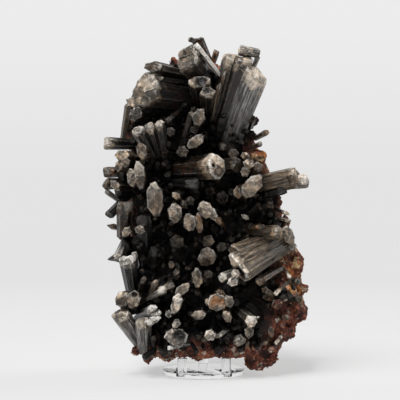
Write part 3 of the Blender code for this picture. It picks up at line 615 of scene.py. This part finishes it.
def grow(shape, layers, row, chance, spacing=0.9):
    """One crystal: a sheet rolled round its axis, lined along it, and closed over its blunt end."""
    tip, root = along_sight(*row["tip"]), along_sight(*row["root"])
    frame_of_it = stand_matrix(tip, root, row["turn"])
    length = (tip - root).length / MM
    outline = lined_outline(row, chance, spacing)
    around = len(outline)
    cap_share, keep_wide, keep_thick, terrace = ENDS[row["end"]]
    cap = cap_share * min(row["thick"], row["wide"])
    lean_wide, lean_thick = row["lean"]
    side_rows = max(3, round(length / SIDE_STEP))
    cap_rows = max(2, round(min(row["wide"], row["thick"]) / 2 / spacing))
    rows = 1 + side_rows + 2 + cap_rows
    ridge = chance.uniform(0, math.pi)
    steep = min(1.0, STEEP_SIZE / max(row["wide"], row["thick"]))
    slopes = (chance.uniform(0.10, 0.55) * steep, chance.uniform(0.02, 0.38) * steep)
    ridge_shift = chance.uniform(-0.2, 0.2) * row["thick"]
    terrace *= min(1.0, row["thick"] / 8.0)
    seed = Vector((chance.uniform(0, 90), chance.uniform(0, 90), chance.uniform(0, 90)))
    tone, end_warm, reach, silk, silk_warm, stain, edge = LOOKS[row["look"]]
    vary = chance.uniform(0.82, 1.15)
    coarse = min(1.0, max(0.45, FINE_SIZE / max(row["wide"], row["thick"])))
    made = bmesh.ops.create_grid(shape, x_segments=around, y_segments=rows, size=0.5)["verts"]
    where = {}
    for vert in made:
        i = round((vert.co.x + 0.5) * around) % around
        j = round((vert.co.y + 0.5) * rows)
        where[vert] = j
        x, y, corner = outline[i]
        share = min(1.0, max(0.0, (j - 1) / side_rows))
        cap_step = min(1.0, max(0.0, (j - 1 - side_rows) / 2))
        inner = max(0.0, (rows - j) / cap_rows) if j > 3 + side_rows else 1.0
        if j == 0:
            inner = 0.0
        bend = 1.0 + 0.02 * noise.noise(Vector((share * 3.0, seed.x, seed.y)))
        grown = (ROOT_TAPER + (1.0 - ROOT_TAPER) * share) * bend
        x *= grown * (1.0 + (keep_wide - 1.0) * cap_step) * inner
        y *= grown * (1.0 + (keep_thick - 1.0) * cap_step) * inner
        height = (length - cap) * share + cap * cap_step
        height += (lean_wide * x + lean_thick * y) * share
        across = x * math.cos(ridge) + y * math.sin(ridge) - ridge_shift
        fall = slopes[0] * across if across > 0 else -slopes[1] * across
        relief = noise.noise(Vector((x * 0.33, y * 0.33, 0.0)) + seed)
        relief = round(relief * 3.5) / 3.5 * terrace
        relief += CAP_NOISE * noise.noise(Vector((x, y, 0.0)) * 0.9 + seed)
        height += (relief - fall) * share ** 8
        pit = 0.0
        if row["hole"] and j > side_rows:
            hole_x, hole_y, hole_radius, hole_depth = row["hole"]
            off = math.hypot(x - hole_x, y - hole_y) / hole_radius
            pit = max(0.0, 1.0 - off * off)
            height -= hole_depth * pit
        vert.co = frame_of_it @ (Vector((x, y, height)) * MM)
        vert[layers["grain"]] = Vector((x, y, height)) + seed * 7.0
        vert[layers["along"]] = max(0.0, (length - cap) * (1.0 - share)) if j else length
        # Where a painted highlight lies: along the long corners, round the end's bevel and on its ridge.
        rim = 0.0
        if corner and j <= side_rows:
            rim = 0.9 if row["look"] in ("blade", "claw") else 0.2
        if side_rows + 1 < j <= side_rows + 3:
            rim = 1.0 if j == side_rows + 2 else 0.7
        elif j > side_rows + 3 and abs(across) < spacing * 0.4:
            rim = 0.3
        vert[layers["rim"]] = rim
        # Painted light: how high a place lies across the crystal, for ends painted brighter towards the top.
        vert[layers["top_light"]] = 2.0 * (frame_of_it.to_3x3() @ Vector((x, y, 0.0))).z / max(
            row["wide"], row["thick"])
        # The hollow's share, which the finish paints near-black as shade inside it.
        vert[layers["pit"]] = min(1.0, pit * 1.6)
        for name, value in (("end_tone", tone * vary), ("end_warm", end_warm), ("reach", reach),
                            ("silk", silk * vary), ("silk_warm", silk_warm), ("stain", stain),
                            ("edge", edge), ("coarse", coarse)):
            vert[layers[name]] = value
    faces = {face for vert in made for face in vert.link_faces}
    for face in faces:
        face[layers["end_face"]] = 1.0 if min(where[v] for v in face.verts) > side_rows else 0.0
    bmesh.ops.remove_doubles(shape, verts=made, dist=0.01 * MM)


def clump(name, *rows):
    """The crystals of one clump as one piece, standing for the CAD node of that name."""
    shape = bmesh.new()
    layers = open_layers(shape)
    chance = random.Random(name)
    for row in rows:
        grow(shape, layers, row, chance)
    bmesh.ops.recalc_face_normals(shape, faces=shape.faces)
    return keep_piece(name.replace("crystal_", "grown_"), shape, [SELENITE], "selenite", name, sharp=24)


# Top of the cluster: the brown spike at the back, the frosted crown with its white blade, whose edges carry
# painted highlights, the two pillow ends, the great frosted shoulder and the tall silky tower at the right.
clump("crystal_finial",
      prism((-4.4, 2, 234), (6.6, 8, 209), 9, 5, "claw", end="broken", slant=0.14),
      prism((-10, 1, 233.6), (-1.4, 4, 230.6), 4.2, 4.4, "claw", end="broken"),
      prism((9.4, 4, 226), (4.5, 9, 211), 4.8, 4, "rust", end="chisel"))
clump("crystal_crown",
      prism((-11.8, -27, 220.6), (2, 0, 204), 17, 19, "crown", turn=6, end="slant", lean=(0.10, -0.25),
            slant=0.13),
      prism((-12.6, -24, 225.4), (2, 0, 206), 14.6, 10, "crown", turn=4, end="broken", slant=0.10),
      prism((-5.8, -26, 230.2), (15.5, -11, 203), 4.8, 11, "blade", end="chisel"),
      prism((-36.6, -24, 214.6), (-2, 0, 207), 8.8, 13, "lens", end="slant", lean=(-0.2, 0.5)))
clump("crystal_pillows",
      prism((-3.2, -36, 204.8), (0, -2, 188), 16.5, 8.8, "pillow", turn=3, hole=(1.5, -0.6, 4.2, 1.2)),
      prism((2.8, -38, 197), (3, -3, 182), 11.5, 8.4, "pillow", turn=12, hole=(-0.5, 0.8, 2.8, 0.8)))
clump("crystal_shoulder",
      prism((-43.2, -22, 198.6), (-8, 0, 193.5), 27, 19, "frost", end="slant", lean=(-0.20, 0.45)),
      prism((-34, -25, 205.4), (-10, -3, 202.5), 6.6, 13, "smoke", end="broken"),
      prism((-48.5, -20, 189.4), (-12, 0, 186), 10.5, 15, "frost", end="slant", lean=(0.10, 0.50)),
      prism((-25.5, -21, 175.4), (-13, -4, 187), 5, 8, "dim", end="chisel"))
clump("crystal_tower",
      prism((35.6, -20, 212.8), (12, 0, 150), 23, 17, "crest", end="slant", lean=(-0.35, 0.15)),
      prism((28, -23, 221), (7, -1, 156), 14, 14, "lobe", end="slant", lean=(0.1, 0.1)),
      prism((19.8, -21, 223.2), (4, 0, 166), 12, 13, "lobe", end="slant", lean=(0.25, 0.1)),
      prism((15.6, -22, 212.5), (5, -1, 176), 4.6, 8, "beige", end="point"),
      prism((11.8, -25, 203), (5, -2, 172), 4.2, 7, "beige", end="point"),
      prism((24.8, -21, 225.8), (38.4, -17, 223.6), 8.6, 9, "crest", end="broken"),
      prism((38.2, -18, 222), (33.5, -12, 210), 4.2, 6, "silk", end="broken"),
      prism((21, -30, 153), (19, -2, 158), 8.2, 6.6, "dim", turn=5),
      prism((13.6, -26, 156.6), (13, -2, 162), 6.2, 5.8, "dim", turn=30, end="point"))

# Left edge, top to bottom: laths, pads and buttons of selenite that point up and out to the left, rooted
# in the slab's edge. Iron has stained the outermost brown, and the claw at the waist has a rusty skin.
clump("crystal_left_lath",
      prism((-51.8, -14, 188), (-56, 4, 162), 7.2, 6, "beige", end="broken"))
clump("crystal_left_pad",
      prism((-48, -27, 181.2), (-38, 0, 178), 11.4, 10.5, "smoke", turn=-30, end="broken"))
clump("crystal_fingers",
      prism((-46.6, -29, 170.6), (-33, -3, 146), 10, 8, "finger"),
      prism((-38.6, -33, 174.8), (-30, -3, 148), 7, 7, "finger", end="chisel"),
      prism((-31, -31, 175.8), (-26, -3, 144), 8.4, 8, "finger", end="broken"),
      prism((-43.3, -36, 155.2), (-38, -2, 152), 12.6, 7, "beige", turn=97))
clump("crystal_brown_button",
      prism((-23, -29, 168.8), (-20, -2, 166), 7.5, 6.6, "dim", turn=20))
clump("crystal_comma",
      prism((-3.4, -40, 179), (-3, -2, 175), 10.4, 12.4, "pale", turn=-15),
      prism((-8, -38, 182), (-13.2, -24, 166), 4.6, 5, "pale", end="broken"))
clump("crystal_chip",
      prism((-5.6, -42, 162.3), (-4, -2, 161), 14, 7.2, "pale", turn=42))
clump("crystal_dim_button",
      prism((-15, -27, 155), (-13, -2, 153), 9.4, 8, "dim", turn=10, end="broken"))
clump("crystal_thumb",
      prism((-69.6, -18, 160.8), (-40, 4, 160), 9.2, 9, "stub"))
clump("crystal_left_blocks",
      prism((-57.4, -28, 152.4), (-46, 2, 150), 11.8, 6.6, "beige", turn=2, end="broken"),
      prism((-55.2, -31, 146.8), (-45, 2, 146), 8.4, 7.4, "pale", turn=15),
      prism((-59.6, -26, 144.8), (-46, 2, 146), 10.4, 6.2, "beige", turn=80))
clump("crystal_double_tablet",
      prism((-44.9, -40, 138.8), (-39, -2, 137), 20.4, 7.4, "pale", turn=99),
      prism((-50.6, -36, 136.6), (-43, -2, 136), 13.4, 7.6, "pale", turn=96))
clump("crystal_bud_upper",
      prism((-69.8, -14, 140.4), (-46, 6, 141), 8, 8.4, "brown", end="chisel"))
clump("crystal_bud_lower",
      prism((-69.4, -15, 132.2), (-48, 5, 133), 8.4, 6, "brown", turn=86),
      prism((-62.5, -28, 131.2), (-49, 2, 131), 10.6, 6, "pale", turn=-48))
clump("crystal_dark_lath",
      prism((-66.4, -18, 109.8), (-47, 4, 130), 7, 6.4, "dark", end="broken"),
      prism((-68.6, -13, 127.6), (-57, -6, 119), 4.2, 5, "silk", end="chisel"))
clump("crystal_claw",
      prism((-54.6, -27, 120.2), (-56, 0, 96), 12.4, 10, "claw", end="chisel"),
      prism((-50.4, -24, 119), (-51.5, -4, 100), 3.4, 5, "beige", end="chisel"),
      prism((-67.4, -8, 103.4), (-54, 2, 100), 4.4, 5, "brown", end="point"),
      prism((-54, -31, 98.6), (-55, 0, 99), 9, 5.6, "beige", turn=56))

# Middle of the cluster: tablets of selenite that point at the viewer, so that their etched ends show,
# with the dark post and the long branch, which grew out to the right past the slab's edge.
clump("crystal_big_pale",
      prism((-34, -46, 122.2), (-32, -3, 121), 24.2, 12, "pale", turn=95, end="slant", lean=(0.25, -0.2)))
clump("crystal_oval",
      prism((-20, -45, 111.8), (-19, -3, 113), 14.6, 9.4, "pale", turn=99))
clump("crystal_twin_hex",
      prism((1.2, -43, 114), (1, -3, 117), 12.4, 9, "pale", turn=112),
      prism((6.4, -40, 110.8), (5, -3, 115), 11, 6, "bright", turn=114))
clump("crystal_tooth",
      prism((-10, -43, 105.6), (-8, -4, 106), 12.6, 8.4, "pale", turn=102, end="slant",
            lean=(0, 0.2)),
      prism((-3.2, -37, 104.6), (-3, -4, 106), 15, 5.4, "brown", turn=96, end="broken"))
clump("crystal_clutter",
      prism((-19.4, -30, 124), (-14.5, -3, 122), 8, 4.6, "beige", turn=-35),
      prism((-9, -30, 120.4), (-13.5, -3, 122), 6, 6.4, "dim", turn=10, end="broken"),
      prism((-13.6, -27, 117.6), (-14, -3, 121.5), 8, 5, "dim", turn=-50))
clump("crystal_post",
      prism((10.4, -44, 144.6), (-22, -3, 142), 18.4, 13.4, "crust", turn=94,
            hole=(0.6, 3, 1.9, 2.2)),
      prism((-4, -34, 131.6), (-24, -3, 133), 9.6, 14, "dark", end="chisel"),
      prism((24.6, -31, 145.6), (-18, -4, 142), 11.6, 10, "dim", end="slant", lean=(0.2, 0.3)))
clump("crystal_white_clump",
      prism((31.6, -32, 146), (33.4, -1, 148.2), 9, 6.4, "pale", turn=-20, end="broken", lean=(0.3, 0)),
      prism((38, -30, 144), (36.6, -2, 146), 7.4, 6.8, "pale", turn=25, end="broken"),
      prism((29, -33, 140.6), (32, -1, 144.4), 7.4, 6.4, "pale", turn=4, end="broken"),
      prism((29, -27, 151.8), (31, -1, 150.6), 6, 6.6, "beige", turn=60, end="broken"))
clump("crystal_branch",
      prism((66.4, -22, 136.6), (30, 0, 128), 14.6, 14, "beige"),
      prism((73.2, -22, 134.8), (52, -14, 132), 10.6, 10, "crest"),
      prism((64.4, -20, 141.8), (40, -4, 137), 5.4, 10, "beige", end="chisel"),
      prism((58, -20, 128.6), (34, -2, 122), 6.4, 10, "dark", end="chisel"),
      prism((33.6, -47, 130.8), (36, -4, 134), 19.6, 11, "pale", turn=50),
      prism((23.6, -40, 126), (30, -4, 130), 9.6, 5.6, "brown", turn=100, end="broken"))
clump("crystal_deep_pair",
      prism((13.4, -22, 122.4), (8, 0, 126), 10.6, 9, "dim", turn=-40),
      prism((4.6, -20, 126.8), (6, 0, 128), 8.8, 6.4, "dim", turn=-20, end="broken"))
clump("crystal_brown_lath",
      prism((9.6, -26, 108), (17.6, -2, 96), 5, 6, "rust", end="chisel"))
clump("crystal_flake",
      prism((29, -24, 109), (31, 0, 111), 6.6, 3.4, "bright", turn=-28, end="broken"))
clump("crystal_band",
      prism((54.4, -30, 98.2), (18, -3, 99), 10.4, 9, "olive", end="slant", lean=(0.2, 0.4)),
      prism((40.4, -27, 102.6), (26, -8, 102), 5, 8, "rust", end="broken"))
clump("crystal_edge_plate",
      prism((60.6, -16, 96), (50, 4, 95), 15.4, 8, "pale", turn=-64),
      prism((63, -13, 88.2), (52, 4, 88), 8.4, 4.6, "silk", turn=8, end="broken"))
clump("crystal_deep_group",
      prism((2.6, -30, 80.6), (3, -4, 85), 14.6, 12, "pale", turn=70, end="broken", lean=(0.2, 0.1)),
      prism((3, -28, 92.4), (3, -4, 91), 9.6, 8.2, "pale", turn=60, end="broken"),
      prism((13, -28, 88), (7, -4, 88), 8.8, 7, "dim", turn=-15))
clump("crystal_dim_block",
      prism((-18.8, -27, 91.6), (-17, -4, 93), 11.4, 10, "dim", turn=95, end="broken"))
clump("crystal_lower_pair",
      prism((-4.4, -37, 66.4), (-3, -6, 70), 14.2, 7.2, "pale", turn=92),
      prism((3.4, -31, 69), (-1.5, -6, 71), 7.2, 6.2, "dim", turn=20))
clump("crystal_small_pair",
      prism((-22.4, -29, 75.8), (-20, -6, 77), 6.6, 4.6, "dim", turn=112),
      prism((-19, -31, 68.6), (-18, -6, 72), 9.2, 4.8, "dim", turn=96))

# Right of the middle: the great lined wedge, which split along its length and shows its silky inside,
# and the glassy and brown laths that grew around it.
clump("crystal_wedge",
      prism((23.6, -43, 72.6), (56, -7, 92), 23, 15, "cream", end="slant", lean=(0.1, -0.5),
            hole=(-2, 0, 5.5, 3.5)),
      prism((20.6, -37, 84.6), (50, -8, 97), 10, 14, "beige", end="slant", lean=(0.1, -0.4)))
clump("crystal_glassy_bits",
      prism((11.6, -41, 66), (26, -8, 72), 7.6, 7, "glass", end="chisel"),
      prism((20.4, -40, 63.4), (24, -8, 69), 9, 6, "glass", turn=20, end="broken"),
      prism((22.6, -43, 69.4), (27, -8, 73), 7, 6, "bright", turn=60, end="broken"))
clump("crystal_inner_lath",
      prism((37, -36, 62.8), (59, -2, 76), 6.4, 6, "brown", end="chisel"))
clump("crystal_cross_laths",
      prism((42.4, -31, 58.6), (56, -8, 48), 4.8, 6, "beige", end="broken"),
      prism((43.4, -28, 52.6), (52, -15, 51), 4.2, 5, "brown", end="broken"))

# Lower left: silky laths and plates, the white fan, the jagged sprays and the grey broom. Here thin
# crystals split into bundles, which scatter the light and so look white.
clump("crystal_grey_lath",
      prism((-60, -18, 79.8), (-53, 4, 96), 7.6, 7, "silk", end="broken"),
      prism((-67.6, -15, 79.4), (-50, -3, 84), 6.4, 9, "dark", end="point"))
clump("crystal_white_fan",
      prism((-53.4, -33, 79.6), (-50, -4, 58), 12.4, 8.4, "fan", end="broken"),
      prism((-48.4, -30, 84), (-48, -6, 62), 5, 8, "fan", end="chisel"))
clump("crystal_dark_panel",
      prism((-42, -24, 110), (-40, -2, 68), 11, 10, "dark", end="chisel"),
      prism((-33.6, -23, 88), (-37, -4, 66), 8.4, 9, "dark", end="chisel"),
      prism((-44.4, -34, 100.2), (-41, -4, 99), 8.8, 5.6, "pale", turn=-20))
clump("crystal_jagged",
      prism((-27, -42, 58.8), (-41, -12, 51), 6.4, 7, "glass", end="chisel"),
      prism((-32.6, -38, 64.6), (-38, -12, 52), 6, 7, "beige", end="point"),
      prism((-21, -36, 61.6), (-36, -14, 56), 5.2, 7, "beige", end="chisel"),
      prism((-42, -32, 65.4), (-45, -8, 54), 4.6, 7, "dim", end="broken"),
      prism((-57.8, -34, 51.8), (-45, -4, 52), 12.4, 10.4, "pale", turn=60),
      prism((-49.4, -36, 51), (-43, -8, 52), 13.4, 10, "pale", turn=70, hole=(3.6, 0.4, 2.2, 2)))
clump("crystal_bright_pair",
      prism((-19.2, -46, 48.6), (-15, -10, 51), 15.6, 7, "bright", turn=72),
      prism((-24.6, -44, 41), (-17, -10, 46), 5, 5, "bright", turn=20, end="broken"),
      prism((-14.8, -42, 58.6), (-13, -8, 56), 12.4, 6, "pale", turn=36))
clump("crystal_big_slab",
      prism((-58.2, -32, 41.4), (-44, -6, 21), 13.4, 11, "silk", end="slant", lean=(-0.15, 0.15)))
clump("crystal_broom",
      prism((-33, -40, 46), (-46, -10, 40), 6.4, 7, "white", end="point"),
      prism((-29.6, -40, 42.2), (-46, -10, 39), 6.8, 8, "white", end="point"),
      prism((-30.2, -40, 38.4), (-46, -10, 37), 6.6, 7, "white", end="point"),
      prism((-35.4, -40, 35.2), (-46, -10, 36), 5.6, 8, "white", end="point"),
      prism((-42.4, -35, 36.4), (-41, -14, 15), 11.6, 10, "silk", end="slant", lean=(0.3, 0.1)),
      prism((-35.4, -28, 25), (-35.4, -16, 13), 4.6, 7, "dark", end="chisel"))

# Foot of the cluster: short tablets along the lower edge, which grew level out of the slab. Some are
# stained orange by iron, and one has a hollow end.
clump("crystal_hollow_hex",
      prism((-19.4, -40, 24.8), (-16, -14, 27), 16.4, 12.4, "hollow", turn=-8, end="broken",
            hole=(2, 2, 5, 2.2)),
      prism((-25.4, -38, 17.2), (-1, -14, 22.5), 3.6, 6, "white", end="chisel"),
      prism((-19.2, -40, 34.6), (-17, -14, 29), 8.2, 5.2, "bright", turn=62, end="broken"))
clump("crystal_foot_hex",
      prism((4.4, -42, 26.2), (5, -14, 30), 9.2, 7.8, "bright", turn=10),
      prism((10, -38, 25.4), (22.5, -14, 34), 3.4, 6, "silk", end="broken"))
clump("crystal_flat_hex",
      prism((-3.2, -42, 40.4), (-2, -10, 44), 11.6, 6.4, "pale", turn=4))
clump("crystal_orange_cluster",
      prism((9.6, -41, 49.4), (8, -10, 52), 13.6, 11.6, "ember", turn=20, end="broken"),
      prism((18, -43, 49.8), (15, -10, 53), 10, 6.4, "pale", turn=112),
      prism((3.4, -37, 49.4), (4, -10, 52), 6, 4.6, "pale", turn=70),
      prism((12, -37, 56), (10, -10, 56), 7.6, 4.4, "rust", turn=-15, end="broken"),
      prism((16.8, -40, 38.6), (16, -12, 49), 10.6, 5.6, "beige", turn=118))
clump("crystal_striated",
      prism((34.4, -44, 35.2), (20, -10, 48), 9.8, 8, "bright", end="slant", lean=(0.2, 0.2)),
      prism((39.2, -40, 39), (32, -26, 37), 2.8, 3, "bright", end="point"))
clump("crystal_grey_block",
      prism((31.8, -38, 28.2), (33, -12, 31), 9.4, 6.4, "pale", turn=92))
clump("crystal_pyramid",
      prism((23.6, -39, 19.4), (27, -14, 27), 11.6, 8.6, "smoke", end="point"))

# Chips of crystal, cream and brown, grown into the broken rock at the lower right and up its right edge,
# where the slab broke across them.
chips = bmesh.new()
chip_layers = open_layers(chips)
chance = random.Random(41)
for row in (
        prism((46.2, -27, 15.2), (56, -8, 26), 3.8, 5, "bright", end="chisel"),
        prism((57.4, -25, 38.6), (58, -4, 39), 5.4, 5, "beige", turn=80, end="broken"),
        prism((47.2, -30, 28.8), (48, -8, 29), 8.4, 3.6, "brown", turn=95, end="broken"),
        prism((61.4, -20, 58), (58, 0, 57), 9, 6, "ember", turn=-60, end="broken"),
        prism((73.4, -4, 58.8), (60, 6, 58), 4.6, 7, "brown", end="point"),
        prism((51.4, -28, 48.4), (53, -8, 47), 8.6, 6.4, "rust", turn=20, end="broken"),
        prism((50, -29, 55), (62, -6, 66), 3.6, 5, "cream", end="chisel"),
        prism((56, -26, 51), (66, -4, 56), 3.4, 5, "beige", end="broken"),
        prism((60.4, -22, 66.4), (56, -4, 74), 3.2, 5, "cream", end="chisel"),
        prism((66.8, -14, 64), (58, 0, 66), 5, 6, "smoke", end="broken"),
        prism((50.6, -26, 36), (60, -6, 44), 3.4, 4, "beige", end="chisel"),
        prism((43, -29, 20.6), (52, -8, 32), 3, 4, "brown", end="broken"),
        prism((50.2, -24, 20.4), (58, -6, 29), 3.2, 4, "cream", end="chisel"),
        prism((53.6, -22, 24.4), (60, -6, 34), 3, 4, "bright", end="broken"),
        prism((60.6, -16, 105.8), (52, -2, 108), 3.4, 5, "beige", end="chisel"),
        prism((58.4, -14, 111.6), (50, 0, 115), 3.2, 5, "cream", end="broken"),
        prism((43.8, -14, 168.2), (36, -2, 164), 4.6, 6, "brown", end="broken"),
        prism((40.6, -16, 160.6), (34, -4, 158), 4, 5, "beige", end="chisel")):
    grow(chips, chip_layers, row, chance)
bmesh.ops.recalc_face_normals(chips, faces=chips.faces)
keep_piece("rock_chips", chips, [SELENITE], "selenite", "matrix", sharp=24)

# Dark druse. Short smoky crystals that carpet the slab between the large ones, so crowded that only
# their dim tips and the odd lined face show in the shadow.
DRUSE_COUNT = 620
DRUSE_TRIES = 6000
DRUSE_FIELD = ((-50.0, 62.0), (20.0, 212.0))  # left and right, low and high, mm
DRUSE_LONG = (7.0, 18.0, 11.0)  # least, most and commonest, mm
DRUSE_WIDE = (2.2, 7.6, 4.0)
DRUSE_DEEPEST = 12.0      # no crystal roots farther back than this, mm
DRUSE_MARGIN = 5.0        # how far a crystal's head stays inside the slab's outline, mm
DRUSE_SPACING = 1.6       # mesh size round a crystal, mm
IN_FRONT = -80.0          # a depth well before the slab, mm
# A less glossy, shaded copy of the finish, so that the druse reads dark, as in shade.
SHADE_SELENITE = selenite_finish("shade_selenite", 0.12)
druse = bmesh.new()
druse_layers = open_layers(druse)
chance = random.Random(77)


def slab_behind(x, z):
    """Where the slab is hit behind a place of the front in mm, and its normal there."""
    return rock_tree.ray_cast(Vector((x, IN_FRONT, z)) * MM, Vector((0.0, 1.0, 0.0)))[:2]


for tip, root, wide, thick in (
        ((-60, -10, 137), (-42, 2, 137), 11, 9), ((-61, -8, 126), (-44, 2, 126), 9, 8),
        ((-56, -12, 88), (-43, 0, 92), 12, 9), ((-51, -24, 44), (-40, -4, 46), 9, 8),
        ((-55.5, -22, 45.6), (-42, -4, 45), 9, 8), ((-57, -13, 81), (-44, 0, 86), 10, 9),
        ((-49, -12, 64), (-42, 0, 76), 9, 8), ((-47, -18, 94), (-42, -2, 72), 9, 8)):
    grow(druse, druse_layers, prism(tip, root, wide, thick, "dark"), chance, spacing=DRUSE_SPACING)
grown = 0
tries = 0
while grown < DRUSE_COUNT and tries < DRUSE_TRIES:
    tries += 1
    x, z = (chance.uniform(*side) for side in DRUSE_FIELD)
    hit, normal = slab_behind(x, z)
    if hit is None or hit.y > DRUSE_DEEPEST * MM or chance.random() < bare(x, z):
        continue
    out = Vector((0.020 * (x - 2.0), -0.9, 0.013 * (z - 105.0))).normalized()
    out += normal * 0.3 + Vector(chance.uniform(-0.85, 0.85) for _ in range(3))
    out.normalize()
    long = chance.triangular(*DRUSE_LONG)
    foot = hit / MM + Vector((0.0, 2.0, 0.0))
    head = foot + out * (long + 2.0)
    if bare(head.x, head.z) > 0.25:
        continue
    if not all(slab_behind(head.x + dx * DRUSE_MARGIN, head.z + dz * DRUSE_MARGIN)[0]
               for dx, dz in ((-1, 0), (1, 0), (0, -1), (0, 1))):
        continue
    wide = chance.triangular(*DRUSE_WIDE)
    row = prism(tuple(head), tuple(foot), wide, wide * chance.uniform(0.5, 0.9),
                chance.choice(("druse", "druse", "druse", "dark", "dark", "dim")),
                turn=chance.uniform(0.0, 180.0), end=chance.choice(("chisel", "chisel", "broken", "slant")))
    for key in ("tip", "root"):
        px, py, pz = row[key]
        share = (SIGHT_DISTANCE + py) / SIGHT_DISTANCE
        row[key] = (SIGHT_X + (px - SIGHT_X) / share, py, SIGHT_Z + (pz - SIGHT_Z) / share)
    grow(druse, druse_layers, row, chance, spacing=DRUSE_SPACING)
    grown += 1
bmesh.ops.recalc_face_normals(druse, faces=druse.faces)
keep_piece("dark_druse", druse, [SHADE_SELENITE], "selenite", sharp=24)
